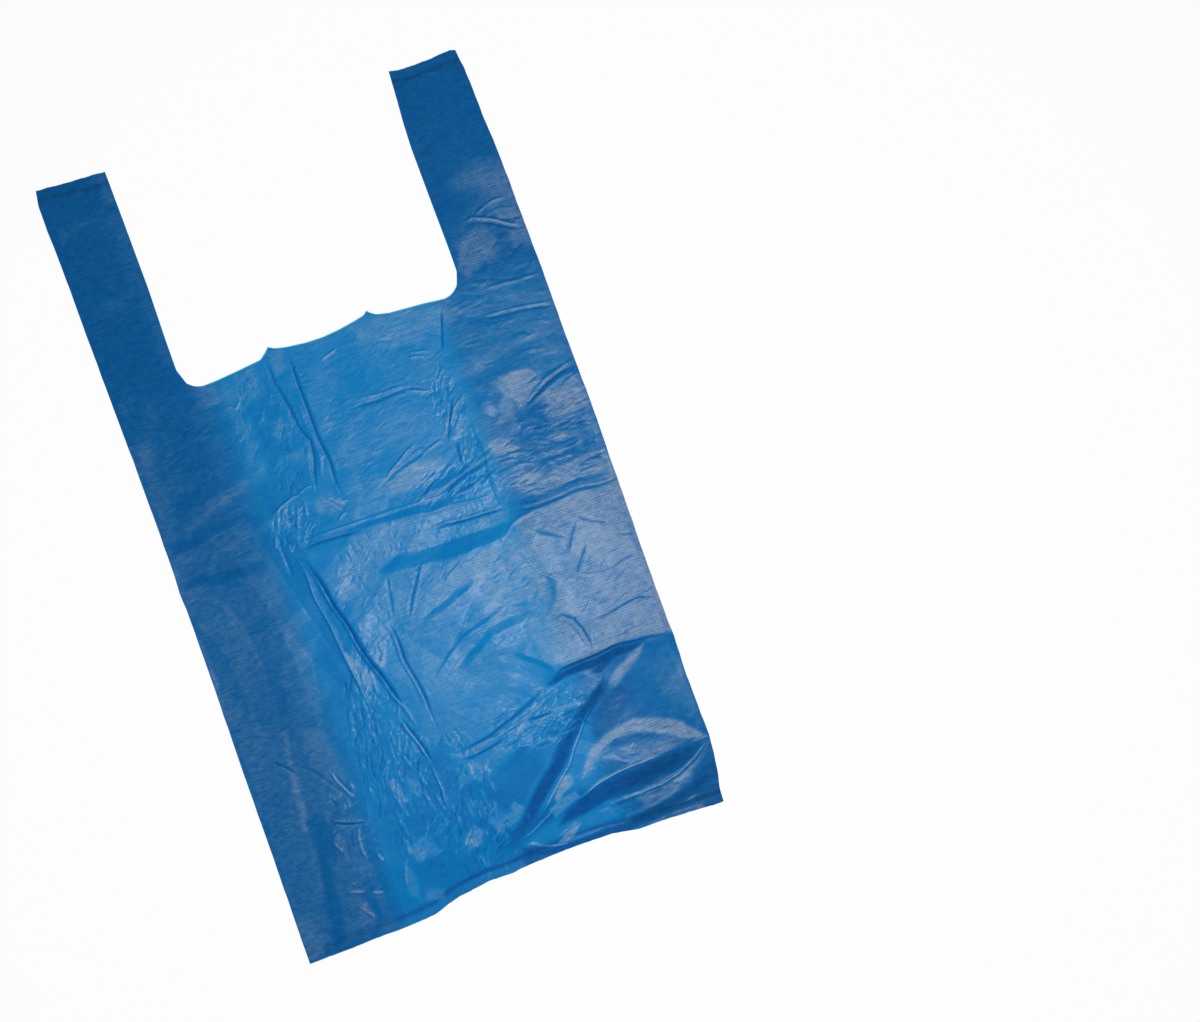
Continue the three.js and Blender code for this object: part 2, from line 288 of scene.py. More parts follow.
def folded_waves(x, y, seed, length, slope, count, turn=math.pi / 2, spread=math.pi):
    """Facets: a sum of waves of straight ramps. Each runs in a direction drawn at random about
    turn, its lines are bent by a slow wander, and its slope swells and fades across the sheet."""
    rng = np.random.default_rng(seed)
    total = np.zeros(x.shape)
    for _ in range(count):
        angle = turn + spread * (rng.random() - 0.5)
        wave = length * (0.7 + 0.7 * rng.random())
        u = x * math.cos(angle) + y * math.sin(angle)
        v = -x * math.sin(angle) + y * math.cos(angle)
        bend = np.zeros(x.shape)
        swell = np.zeros(x.shape)
        for k in range(3):
            a, b, c, d = rng.random(4)
            scale = wave * (3.2 + 2.5 * k * a + a)
            bend += 0.22 * np.sin(2 * np.pi * (u / scale * (a - 0.5) * 1.6 + v / scale + b))
            swell += np.sin(2 * np.pi * (u / (scale * 1.3) * (c - 0.5) * 2 + v / (scale * 1.6) + d))
        ramp = abs(((u / wave + bend) % 1.0) * 2 - 1) - 0.5
        total += ramp * np.clip(0.4 + 0.42 * swell, 0, 1.4) * wave / 2
    return slope * total / math.sqrt(count)


# %% The folds and tones
# The folds, the ledges and the first patches are traced from the photograph. The regions and the later
# patches were laid after comparing the render's broad tones with it, so many of them have no edge that can
# be seen there. The heights are guesses.
#
# Folds: a height, a reach to the left and to the right of the line's direction, a tone, and the points. The
# tone is a painted highlight along the crease where it is positive, and painted shade where it is negative.
FOLDS = [
    (-0.3, 2, 2, -0.3, [(-62, 4), (-61.5, -2), (-62, -14), (-62.5, -24)]),
    (0.25, 2, 1.2, -0.3, [(64, 30), (64.5, 12), (63, -4), (63.6, -22), (66, -27)]),
    (-0.9, 1.5, 3, -0.6, [(-36, 101), (-35.5, 92), (-35, 84), (-31.6, 69), (-30, 58), (-26, 48), (-29, 34),
        (-33, 16)]),
    (-1.1, 1.6, 1, -0.9, [(-22.5, 104), (-22.3, 85), (-22, 69), (-21, 45), (-20, 19), (-19.5, 8)]),
    (0.5, 1.5, 1.5, 0.5, [(-20.5, 90), (-20, 86), (-18, 84)]),
    (0.4, 2.5, 1.5, 0.25, [(-27, 72), (-26, 60), (-24, 50), (-25, 38), (-27, 25)]),
    (0.5, 1.6, 1.6, 0.6, [(-53.7, -5.7), (-30, -5.8), (-12, -6.2), (10, -6.8), (43, -6.4)]),
    (-0.7, 1, 1.2, -0.9, [(-52, -9), (-38, -9.8), (-25, -10.7), (-14, -11)]),
    (0.4, 1.2, 1.6, 0.4, [(-6.6, -11.4), (17.7, -13), (40.6, -15), (52, -15.6), (62, -15.7)]),
    (-0.8, 1, 1, -1, [(17.7, -23.6), (32, -24.6), (50, -25), (63.4, -25.4), (68, -27)]),
    (0.5, 1.4, 2.5, 0.5, [(17, -22.5), (32, -23.3), (50, -23.6), (63, -24)]),
    (0.9, 3, 1.6, 0.2, [(14, -5), (22, -4.5), (36, -2.5), (48, 0), (57, 3.5), (64, 6), (72, 9)]),
    (-0.7, 1.2, 2, -0.7, [(30, -6), (42, -3.5), (52, -0.5), (60, 2.5), (70, 6)]),
    (-0.7, 1.4, 1.2, -0.3, [(66, -26), (72, -29), (82, -31), (92, -30.5), (104, -30), (120, -31),
        (133, -32)]),
    (0.6, 2, 2, 0.5, [(70, -26.5), (84, -29), (100, -28.4), (118, -29.3), (131, -30)]),
    (0.5, 1.5, 1.5, 0.5, [(57, -43), (62, -40), (67, -36), (73, -33.8), (82, -33)]),
    (-0.7, 1.4, 1.2, 0.2, [(101, -46), (97, -51), (93, -57), (91, -62)]),
    (-0.8, 1.4, 1.2, 0.0, [(103, -59), (98, -65), (93, -71), (91, -76)]),
    (0.4, 1.5, 1.5, 0.9, [(65, -50), (69, -60), (73, -68), (81, -76)]),
    (-0.8, 1.2, 1.4, -0.3, [(69, -93.5), (76, -94), (81.5, -98), (84.5, -105), (85.3, -112), (85, -120)]),
    (0.5, 1.5, 1.5, 0.8, [(68, -95.5), (75, -96), (79.5, -99), (82, -106), (83, -117)]),
    (-0.8, 1.2, 1.2, -0.2, [(91, -103), (100, -102.4), (113, -100.6), (121, -99.5), (131, -102)]),
    (0.4, 1.5, 1.5, 1, [(93, -101), (112, -98.5), (121, -97), (130, -99.5)]),
    (-0.5, 1.4, 1.2, 0.3, [(112, -79), (118, -76.7), (128, -75)]),
    (-0.5, 1.5, 1.5, 0.3, [(118, -60), (124, -62), (131, -64)]),
    (0.3, 1.2, 1.2, 0.8, [(91, -75), (97, -78), (106, -80), (116, -79)]),
    (-0.5, 1.6, 1.6, 0.35, [(76, -42), (84, -47), (92, -54)]),
    (-0.5, 1.6, 1.6, 0.35, [(102, -44), (110, -49), (118, -53)]),
    (-0.9, 1.2, 1.6, -1, [(50, -131), (56, -128), (65, -124.2), (80, -122.4), (95, -121.5), (110, -121.8),
        (118, -122.6), (126, -124.6), (133, -128)]),
    (0.6, 1.6, 2.2, 0.6, [(57, -125.5), (66, -122.5), (84, -120.6), (104, -120.3), (116, -121)]),
    (-0.9, 1.3, 1.4, -0.9, [(-10, -149), (0, -147.5), (15, -145), (26, -141), (38, -136.5), (52, -131)]),
    (0.5, 1.5, 1.5, 0.6, [(-8, -151.5), (2, -150), (16, -147.5), (30, -144), (44, -139.5), (56, -135)]),
    (-0.7, 1.3, 1.4, -0.8, [(-8, -153.5), (0, -154), (12, -152), (24, -149)]),
    (-0.8, 1.4, 1.4, -0.8, [(36, -144), (44, -145), (52, -145)]),
    (0.7, 2, 1.4, 0.9, [(20, -203), (30, -196), (40, -186), (50, -176), (56, -169), (62, -162), (68, -155),
        (72, -151), (80, -148)]),
    (-0.6, 1.2, 1.2, -0.5, [(66, -151), (67.5, -156), (69, -159)]),
    (0.6, 1.3, 1.6, 1, [(44, -199), (55, -195.5), (64, -191.5), (74, -189.5), (88, -188), (104, -188.5)]),
    (0.4, 1.4, 1.6, 0.6, [(60, -206.5), (80, -204.8), (96, -205), (108, -201.5), (120, -196.5),
        (131, -190)]),
    (0.4, 1.4, 1.6, 0.5, [(8, -209), (18, -206), (30, -200.5), (40, -195)]),
    (0.5, 1.2, 1.4, 0.6, [(12, -211), (20, -214.5), (28, -217), (37, -218.5)]),
    (0.4, 1.2, 1.4, 0.6, [(28, -215), (34, -212.5), (40, -210), (46, -209)]),
    (0.3, 1.2, 1.4, 0.7, [(54, -187), (60, -181.5), (66, -177), (74, -172.5), (84, -170)]),
    (0.6, 1.4, 1.4, 0.55, [(-55.9, -8.6), (-54.8, -22), (-53.7, -35.7), (-52, -52), (-49.4, -68.6),
        (-46.6, -91.4), (-44.4, -114)]),
    (-0.7, 1.2, 1.4, -0.8, [(-53, -12), (-50, -25), (-46.5, -38), (-44, -50), (-40.5, -66), (-37, -80),
        (-33.7, -91), (-29, -108), (-25, -123)]),
    (0.6, 1.2, 1.2, 0.7, [(-34, -98), (-31, -106), (-28, -112), (-26, -118), (-24, -127)]),
    (0.9, 1.2, 1.6, 1, [(-32.5, -119), (-31, -123), (-28, -131), (-25.4, -140), (-23.6, -149)]),
    (-0.9, 1, 1.2, -1, [(-31, -119), (-29.4, -124), (-26.6, -132), (-24, -141), (-22.4, -150)]),
    (0.5, 1.2, 1.2, 0.7, [(-23.4, -150), (-22.6, -158), (-21.4, -166), (-23, -178)]),
    (-0.7, 1.1, 1.1, -0.8, [(-18.7, -63), (-18, -75), (-17.3, -86), (-15.5, -100), (-14, -112),
        (-13, -130)]),
    (0.4, 1.2, 1.2, 0.4, [(-20, -66), (-19, -86), (-17, -100), (-15, -120)]),
    (-0.5, 1.3, 1.3, -0.1, [(-10.5, -40), (-12.5, -50), (-15, -63)]),
    (-0.5, 1.3, 1.3, -0.2, [(9.5, -38), (5, -45), (-1, -55), (-7, -66)]),
    (0.4, 1.2, 1.2, 0.7, [(10.5, -39.5), (6.5, -46), (0.5, -56), (-5, -66)]),
    (-0.5, 1.6, 1.6, -0.3, [(-6.6, -105.7), (6.3, -94.3), (17.7, -86.5), (32, -82), (42, -79.5),
        (51, -78)]),
    (0.4, 1.4, 1.4, 0.7, [(14, -90), (24, -86.5), (36, -83.5), (48, -80.5)]),
    (0.5, 1.3, 1.3, 0.8, [(18, -54.5), (24, -51), (32, -47)]),
    (-0.3, 1.4, 1.4, -0.1, [(-110, -117), (-103, -123), (-97, -130)]),
    (-0.15, 1.4, 1.4, 0.1, [(-98, -124), (-88, -131), (-80, -142), (-73, -152)]),
    (0.4, 1.4, 1.4, 0.8, [(-79, -134), (-76, -142), (-73, -149), (-71.5, -154)]),
    (-0.4, 1.2, 1.2, -0.5, [(-77.5, -136), (-74.5, -143), (-71, -151)]),
    (0.3, 1.3, 1.3, 0.6, [(-89, -160), (-82, -163), (-76, -166), (-70, -168)]),
    (-0.4, 1.2, 1.2, -0.5, [(-88, -161.6), (-80, -165.5), (-70, -169.5)]),
    (0.3, 1.2, 1.2, 0.7, [(-74, -169), (-76.5, -176), (-77, -184), (-76, -190)]),
    (0.3, 1.3, 1.3, 0.8, [(-93, -203), (-88, -204.5), (-82, -206.5)]),
    (0.3, 1.3, 1.3, 0.8, [(-80, -207.5), (-77, -209), (-73, -210)]),
    (0.3, 1.3, 1.3, 0.5, [(-91, -172), (-89, -176), (-87, -181)]),
    (0.3, 1.4, 1.4, 0.5, [(-89, -214), (-86, -218), (-83, -222)]),
    (0.3, 1.2, 1.2, 0.6, [(-70, -187), (-69, -190), (-67.5, -192.5)]),
    (0.4, 1.2, 1.2, 0.6, [(-60, -214), (-58.5, -206), (-55.5, -199), (-53, -194)]),
    (0.4, 1.4, 1.6, 0.75, [(97, 96), (104, 95.7), (116, 94.8), (131, 94.4)]),
    (0.5, 1.2, 1.6, 0.8, [(90, 81), (100, 80.3), (110, 79), (121, 77.3), (131, 75.8)]),
    (-0.4, 1.2, 1.4, -0.4, [(92, 79), (110, 77), (131, 73.6)]),
    (0.5, 1.4, 1.6, 0.9, [(96, 136), (103, 136.5), (110, 133.5), (118, 129), (129, 123.5)]),
    (0.4, 1.3, 1.4, 0.7, [(104, 137), (110, 139), (118, 141.5), (127, 141)]),
    (-0.4, 1.2, 1.4, -0.5, [(106, 133), (115, 128.5), (127, 122)]),
    (0.6, 1.6, 1.6, 0.8, [(96, 26.5), (105, 31.7), (113, 36.5), (121.7, 39), (131, 41)]),
    (-0.7, 1.2, 1.5, -0.9, [(93, 23.5), (104, 29), (113, 34), (122, 36.6), (132, 38)]),
    (0.4, 1.2, 1.4, 0.5, [(99, 25.5), (108, 29.5), (118, 33), (131, 35)]),
    (-0.5, 1.3, 1.3, -0.6, [(-2, 56.5), (7.7, 56), (23.4, 56.5), (34, 56), (40.6, 55.4), (47, 52.6)]),
    (0.5, 1.3, 1.3, 0.9, [(31, 56.6), (38, 54.6), (44, 52.4), (50, 51.2)]),
    (0.3, 1.3, 1.3, 0.55, [(1, 59.3), (14, 59.6), (28, 59.3), (37, 58)]),
    (0.3, 1.2, 1.2, 0.6, [(42, 75.2), (47, 74.2), (53, 73.4)]),
    (0.3, 1.2, 1.2, 0.6, [(41, 72.6), (46, 71.6), (51, 71)]),
    (0.3, 1.3, 1.3, 0.7, [(-6, 88.5), (0, 90.5), (6, 92.5)]),
    (0.5, 1.3, 1.3, 0.85, [(-62, 13), (-54, 16.6), (-46, 19.6), (-42, 20)]),
    (0.4, 1.3, 1.3, 0.7, [(-43, 20.4), (-38, 22.4), (-34, 23.6)]),
    (0.5, 1.2, 1.4, 0.9, [(5, 12.6), (11, 16), (17.7, 19.3), (24, 23), (31, 25.4)]),
    (0.4, 1.2, 1.4, 0.9, [(28, 17.4), (36, 20), (46, 23.4)]),
    (-0.4, 1.2, 1.4, -0.4, [(4, 10.6), (12, 14), (26, 18), (40, 19.6)]),
    (0.5, 1.3, 1.3, 0.9, [(50, 24.5), (53, 30), (56, 36.4), (60, 39.5), (65, 42)]),
    (0.5, 1.3, 1.3, 0.8, [(49, 5), (53, 10), (56, 14)]),
    (0.5, 1.4, 1.4, 0.8, [(52, 28), (56, 35), (58, 42)]),
    (-0.6, 1.3, 1.5, -0.6, [(47, 20), (52, 29), (55, 38), (58, 46)]),
    (-0.6, 1.3, 1.5, -0.6, [(50, 3), (50.5, 12), (52, 20)]),
    (0.5, 1.2, 1.2, 0.9, [(-33.5, 14), (-28, 9.5), (-22.5, 2.5)]),
    (0.5, 1.2, 1.2, 0.9, [(-29, 14), (-25, 10), (-20, 6)]),
    (0.4, 1.2, 1.2, 0.8, [(-24.5, 12), (-21, 8.5), (-18, 8)]),
    (0.4, 1.2, 1.2, 0.7, [(-27, -2), (-24, 1), (-21, 2)]),
    (-0.7, 1.1, 1.3, -0.7, [(61.3, 70), (64, 78), (67, 86), (69.5, 95)]),
    (0.3, 1.3, 1.3, 0.6, [(-66, 82), (-60, 78), (-56, 84)]),
]

# Ledges: a drop from the left of the line to its right, the face's width, the length of its recovery, the
# tone on the face, and the points. That tone is painted shade where it is negative and painted sheen where
# it is positive.
LEDGES = [
    (-1.5, 9, 18, 0.05, [(-14, -37), (0, -35), (12, -36.5), (26, -38.5), (42, -37.8), (56, -37.8),
        (68, -34)]),
    (-0.9, 4.5, 9, 0.02, [(-28, -8.6), (-5, -8.8), (14, -9.8), (30, -11), (50, -11.5)]),
    (1.3, 5, 14, -0.16, [(-52, -14), (-48.5, -32), (-45.5, -46), (-42.5, -58), (-38, -76), (-34, -92),
        (-30, -106), (-26, -120)]),
    (-0.5, 3, 12, 0.4, [(66, -23.5), (82, -26), (100, -25.5), (131, -26.5)]),
    (1.6, 9, 16, -0.95, [(3, -208), (12, -202), (26, -190), (40, -177.5), (53, -164.5), (64, -154),
        (78, -145), (90, -137)]),
    (1.2, 5, 12, -0.85, [(50, -132.5), (62, -127.5), (78, -125), (96, -124.4), (116, -124)]),
    (1.4, 11, 14, -0.85, [(34, -205), (50, -201), (64, -198), (82, -196), (100, -195), (116, -193),
        (130, -188.5)]),
    (1, 7, 10, -0.7, [(6, -213), (22, -217.5), (40, -220), (62, -220), (86, -219.5), (108, -214),
        (130, -206)]),
    (-0.7, 4, 10, 0.25, [(-2, -71), (12, -67), (23.4, -62.9), (36, -58.5)]),
    (-0.9, 5, 12, 0.18, [(8, -105), (20, -98), (34, -91), (48, -88), (62, -86)]),
    (1, 3, 12, 0.25, [(42, -106), (48, -111), (55, -117), (62, -124)]),
    (0.6, 5, 10, -0.2, [(-122, -3), (-110, -7), (-92, -9), (-74, -7)]),
    (0.6, 6, 12, -0.2, [(-122, 13), (-105, 15), (-85, 18), (-68, 19)]),
    (0.6, 9, 14, -0.075, [(70, 29), (78, 32), (86, 40)]),
    (0.8, 8, 10, -0.25, [(86, 13), (94, 12), (104, 13)]),
    (0.5, 4, 8, -0.35, [(84, -7), (96, -8.6), (108, -8.4), (122, -9.4)]),
    (0.9, 12, 18, -0.175, [(-8, -178), (8, -172), (24, -164), (40, -163)]),
]

# Tones: the tone, how wide its edge is, and its corners. A pale tone is painted sheen. A deep one is
# painted shade, and along folds also the darker blue of film lying double. The regions are broad, and the
# patches lie over them, each over those before it
REGIONS = [
    (0.2, 22, [(-66, 104), (-66, -238), (66, -238), (66, 104)]),
    (0.1, 10, [(-124, 108), (-72, 98), (-72, 20), (-124, 20)]),
    (0.24, 10, [(-127, 22), (-71, 22), (-71, -228), (-127, -228)]),
    (-0.16, 18, [(-68, 104), (-38, 104), (-36, 8), (-44, -60), (-36, -140), (-30, -238), (-68, -238)]),
    (-0.06, 20, [(-132, 240), (-80, 240), (-80, 110), (-132, 110)]),
    (0.24, 16, [(-94, 236), (-84, 236), (-84, 112), (-92, 112)]),
    (-0.14, 10, [(84, 228), (94, 228), (94, 140), (84, 140)]),
    (0.28, 18, [(-124, -12), (-72, -14), (-72, -64), (-122, -70)]),
    (0.22, 18, [(-14, 96), (60, 96), (60, 46), (-14, 46)]),
    (0.32, 9, [(-67, 98), (-56, 99), (-54, 36), (-66, 32)]),
    (0.34, 16, [(-10, 48), (60, 48), (62, 6), (-16, 4)]),
    (0.4, 14, [(-30, -12), (62, -16), (66, -92), (46, -104), (6, -146), (-12, -140), (-16, -100),
        (-22, -60)]),
    (0.66, 12, [(12, -46), (64, -44), (70, -88), (60, -98), (40, -92), (30, -66), (10, -64)]),
    (-0.22, 14, [(-50, -142), (-14, -142), (-2, -168), (20, -180), (6, -236), (-50, -236)]),
    (0.24, 14, [(68, 104), (132, 104), (132, 46), (70, 46)]),
    (0.2, 16, [(88, 140), (131, 144), (131, 108), (86, 112)]),
    (0.34, 10, [(66, 46), (132, 44), (132, -26), (66, -24)]),
    (0, 12, [(62, -128), (131, -126), (131, -230), (10, -230), (20, -206), (44, -176)]),
    (0.22, 14, [(112, -138), (131, -132), (131, -178), (118, -166)]),
]
PATCHES = [
    (0.74, 3, [(68, -35), (80, -32), (100, -31), (134, -32), (134, -125), (116, -121), (86, -120.6),
        (66, -122), (57.5, -114), (60, -104), (66, -94), (74, -86), (79, -76), (72, -64), (66, -50)]),
    (0.6, 10, [(56, -44), (68, -40), (76, -66), (70, -86), (60, -98), (50, -84), (52, -62)]),
    (0.56, 4, [(105, -82), (116, -94), (95, -94)]),
    (0.6, 5, [(84, -36), (92, -58), (86, -72), (80, -60), (78, -42)]),
    (0.06, 2.2, [(-14, -36), (-6.6, -31.6), (3, -33), (12, -34), (26, -33), (40, -32.2), (55, -34),
        (68, -33), (62, -39), (56, -43), (40, -43.4), (28, -43.6), (20, -42.6), (9, -40), (-4, -39.4),
        (-11, -39.4)]),
    (0.1, 1.6, [(-25, -7.4), (0, -7.6), (20, -8), (36, -9.6), (50, -12), (40, -14), (18, -12), (0, -10.6),
        (-25, -10)]),
    (-0.12, 2, [(-53, -11), (-50.5, -14), (-47, -26), (-43.6, -42), (-40.5, -58), (-38, -70), (-35, -84),
        (-32, -96), (-34.6, -96), (-39, -84), (-43, -70), (-46, -58), (-50, -44), (-52, -28)]),
    (0.25, 3, [(42, -107), (46, -106), (53, -112), (60, -118), (67, -123), (61, -124), (53, -117),
        (46, -112)]),
    (-0.85, 3, [(4, -206), (16, -197), (27, -187), (40, -175), (52, -163.5), (61, -154), (70, -147.6),
        (80, -141), (87, -135.6), (82, -144), (72, -152), (62, -159.6), (52, -171), (42, -180), (31, -191),
        (20, -200), (10, -206)]),
    (-0.8, 2.4, [(50, -131), (60, -127), (80, -124), (100, -123), (118, -123), (110, -125.4), (96, -127.6),
        (86, -133), (76, -128.4), (62, -129.6)]),
    (-0.3, 5, [(4, -172), (20, -163), (30, -159), (44, -163), (38, -172), (28, -181), (12, -194), (0, -196),
        (-6, -182)]),
    (-0.55, 5, [(-2, -196), (12, -200), (26, -196), (40, -192), (50, -191), (60, -193), (52, -197),
        (44, -200), (34, -203), (18, -207), (8, -210), (-4, -208)]),
    (-0.85, 3, [(40, -202), (56, -196), (66, -193), (72, -192), (80, -203), (66, -203), (50, -206),
        (34, -208)]),
    (-0.25, 3, [(70, -192), (80, -191), (94, -190.4), (110, -190), (126, -189.6), (114, -195), (102, -200),
        (84, -203), (72, -203)]),
    (-0.7, 4, [(8, -211), (22, -216), (36, -219.4), (60, -219.4), (74, -219), (74, -228), (60, -226),
        (8, -227)]),
    (-0.2, 4, [(72, -219), (90, -218.6), (108, -213), (122, -206), (131, -200), (131, -228), (72, -228)]),
    (0.5, 3, [(-20, -13.5), (0, -13), (16, -16), (15, -31), (6, -32), (-7, -31), (-16, -36), (-26, -43),
        (-42, -46), (-41, -37), (-28, -22)]),
    (0.55, 2, [(16, -15.6), (38, -17), (62, -18), (63, -23.4), (40, -23.4), (18, -22.6)]),
    (0.1, 3, [(-52, -12.9), (-25, -12.9), (-42, -40)]),
    (0.32, 2.5, [(-36.6, -61), (-28, -60), (-19.4, -61), (-18.7, -73), (-26, -75), (-32, -77), (-37, -71)]),
    (0.6, 2, [(-38, -77), (-32, -79), (-25, -81), (-28, -86), (-31, -88.6), (-35, -84)]),
    (0.6, 2, [(-49, -72), (-46.5, -73), (-42, -82), (-36.5, -92), (-42, -98), (-46, -92)]),
    (0.55, 1.6, [(32, -104), (38.4, -105.7), (36.3, -109), (34, -107)]),
    (0.32, 14, [(-12, -100), (8, -98), (20, -110), (36, -118), (34, -128), (10, -138), (-8, -140),
        (-14, -122)]),
    (0.6, 2, [(-10, -149.6), (2, -148.6), (16, -146.4), (28, -143.4), (14, -150), (0, -152.6)]),
    (0.36, 2.5, [(-10, -157), (4, -156), (20, -152), (28, -150), (24, -157), (10, -161), (-4, -167),
        (-12, -168)]),
    (0.65, 1.6, [(26, -154), (28, -148), (33, -144), (38, -141), (33, -149), (29, -156)]),
    (0.5, 2.5, [(40, -146.5), (54, -143), (66, -142), (72, -144.5), (64, -151), (54, -158), (46, -160),
        (43, -152)]),
    (0.55, 2, [(43, -131), (50, -128.5), (58, -131), (52, -136), (45, -135)]),
    (0.6, 2.4, [(64, -129.5), (68, -129), (73, -131), (78, -133), (82, -136), (80, -140), (74, -139),
        (68, -137)]),
    (0.75, 2.8, [(83, -147), (86, -142), (91, -137), (96, -133), (104, -128), (110, -125.6), (114, -124.6),
        (112, -128), (107, -132), (100, -137), (92, -143), (86, -148)]),
    (0.5, 1.6, [(68.5, -155), (71, -151.6), (80, -148.6), (76, -153), (71, -157)]),
    (0.3, 8, [(112, -140), (130, -134), (131, -170), (118, -160)]),
    (0.85, 3, [(55, -186), (58, -180), (62, -175), (67, -171), (76, -167), (85, -164.6), (93, -163.6),
        (103, -166.4), (113, -170.4), (120, -175), (126, -181), (131.5, -188), (124, -187.6), (117, -184),
        (109, -178.6), (100, -174), (90, -171), (80, -171.4), (70, -176.4), (62, -183)]),
    (0.22, 4, [(72, -177), (90, -173), (108, -181), (112, -186), (90, -186), (72, -188), (60, -191),
        (62, -184)]),
    (0.7, 1.8, [(37, -192), (41, -185), (46, -180.6), (50, -181), (50.5, -187), (44, -190), (38, -195)]),
    (0.6, 2.2, [(92, -187), (100, -184.4), (104, -183.4), (112, -183.6), (112, -187.6), (100, -188.6),
        (84, -189.2)]),
    (0.4, 4, [(58, -208), (66, -206), (80, -205.4), (95, -206), (103, -204.6), (112, -201), (120, -197.6),
        (131, -190), (131, -193), (122, -200), (112, -206), (104, -212), (94, -216), (82, -215.6),
        (72, -213)]),
    (0.8, 1.6, [(30, -216.4), (36, -212), (42, -209.4), (46, -210), (41, -215), (34, -218)]),
    (0.55, 1.8, [(14, -185), (18, -190), (17, -195), (12, -191), (10, -187)]),
    (0.65, 1.8, [(-49, -150), (-44, -150), (-43, -165), (-47, -167), (-49, -160)]),
    (0.35, 3, [(-40, -152), (-34, -154), (-32, -164), (-38, -166)]),
    (0.5, 2, [(-20, -194), (-12, -190), (-8, -196), (-12, -204), (-19, -203)]),
    (0.4, 3, [(-50, -216), (-40, -219), (-42, -225), (-52, -223)]),
    (0.88, 2.5, [(85.8, 45.8), (94, 46.7), (105, 44), (110, 38), (105, 32.5), (97, 27.6), (92.5, 25),
        (89, 31.7), (87.5, 38)]),
    (0.85, 2, [(75, 21), (80, 24), (85.8, 25.8), (88, 19), (83, 20)]),
    (0.8, 3, [(68, 13), (75, 13.3), (80, 10), (85, 3.3), (76.7, 1.7), (70, 3.3)]),
    (0.85, 2.6, [(73, -14), (81.7, -11), (88, -12.5), (93, -14), (86.7, -17.5), (78, -18)]),
    (0.6, 3, [(116.7, 25), (128, 23), (128, 16.7), (120, 15)]),
    (0.55, 3, [(118, 6), (130, 8), (130, 2), (122, 1)]),
    (0.76, 3, [(84, -19), (100, -14), (129, -12), (135, -31.5), (104, -29.5), (84, -28.5)]),
    (0.9, 14, [(96, -33), (133, -34), (133, -123), (104, -120), (96, -112)]),
    (0.78, 8, [(106, 30), (131, 30), (131, 13), (110, 12)]),
    (0.5, 8, [(104, 12), (124, 12), (121, -8), (104, -6)]),
    (0.52, 22, [(100, 158), (112, 166), (138, 160), (138, 130), (120, 134), (110, 148)]),
    (0.52, 5, [(116, 138), (136, 138), (136, 108), (120, 112)]),
    (0.52, 6, [(88, 126), (106, 130), (114, 122), (108, 110), (94, 108)]),
    (0.5, 8, [(14, 101), (34, 102), (74, 97), (76, 84), (48, 78), (18, 90)]),
    (0.36, 6, [(-80, 98), (-66, 97), (-66, 84), (-78, 86)]),
    (0.34, 6, [(-56, 98), (-42, 99), (-42, 82), (-58, 76)]),
    (0.06, 6, [(4, 76), (26, 75), (26, 62), (6, 62)]),
    (0.1, 5, [(68, 40), (80, 40), (82, 26), (68, 26)]),
    (0.2, 6, [(-10, -82), (8, -82), (8, -94), (-8, -96)]),
    (0.14, 5, [(90, 20), (104, 25), (106, 6), (92, 4), (88, 10)]),
    (0.15, 5, [(-8, 26), (22, 28), (20, 18), (-6, 15)]),
    (0.24, 4, [(121, 5), (136, 5), (136, -9), (121, -9)]),
    (0.14, 8, [(4, -116), (28, -118), (26, -132), (2, -130)]),
    (0.45, 4, [(-66, 12), (-56, 14), (-52, 4), (-64, 2)]),
    (0.5, 4, [(-38, 14), (-26, 15), (-21, 6), (-26, 2), (-36, 5)]),
    (0.28, 7, [(-92, -168), (-80, -168), (-76, -186), (-84, -200), (-95, -190)]),
    (0.3, 5, [(-94, -209), (-86, -207), (-83, -224), (-92, -224)]),
    (0.02, 5, [(-104, -178), (-97, -178), (-99, -205), (-104, -232), (-112, -232), (-107, -204)]),
    (0.06, 4, [(-84, -205), (-78, -205), (-77, -232), (-84, -232)]),
    (0.4, 7, [(-88, -105), (-75, -108), (-69, -150), (-78, -150), (-87, -128)]),
    (0.3, 4, [(-52, -205), (-57, -196), (-60, -216), (-54, -222)]),
    (0.34, 3, [(-52, -190), (-40, -186), (-34, -198), (-48, -201)]),
    (0.74, 5, [(4, 12), (24, 17), (40, 14), (42, 6), (24, 1), (6, 2)]),
    (0.6, 8, [(-8, -56), (22, -58), (8, -74), (-8, -72)]),
    (0.8, 8, [(36, -56), (66, -54), (74, -70), (72, -84), (52, -70), (38, -68)]),
    (0.55, 6, [(8, -96), (22, -95), (24, -106), (8, -106)]),
    (0.6, 6, [(56, -96), (66, -96), (62, -122), (56, -116)]),
    (0.36, 8, [(-20, -84), (-8, -84), (-8, -138), (-18, -138)]),
    (0.6, 4, [(82, 42), (88, 46), (90, 30), (86, 20), (80, 22)]),
    (0.36, 10, [(108, 90), (136, 90), (136, 40), (110, 44)]),
    (0.3, 8, [(-128, 80), (-115, 80), (-115, -140), (-128, -140)]),
    (-0.4, 4, [(116, -203), (134, -200), (134, -230), (110, -230)]),
    (-0.2, 4, [(64, -205), (80, -205), (84, -213), (66, -213)]),
    (0.5, 4, [(92, -180), (108, -180), (122, -186), (110, -187.5), (94, -187)]),
    (-0.4, 6, [(80, -145), (96, -143), (98, -152), (82, -156)]),
    (0.34, 6, [(22, 62), (40, 61), (54, 74), (60, 64), (44, 52), (24, 52)]),
    (0.4, 4, [(-4, -190), (16, -190), (18, -196), (0, -201)]),
    (0.5, 2, [(32, -197), (40, -193), (50, -191.6), (51, -196), (41, -200), (34, -203)]),
    (0.12, 6, [(64, -128), (80, -129), (84, -136), (76, -142), (66, -136)]),
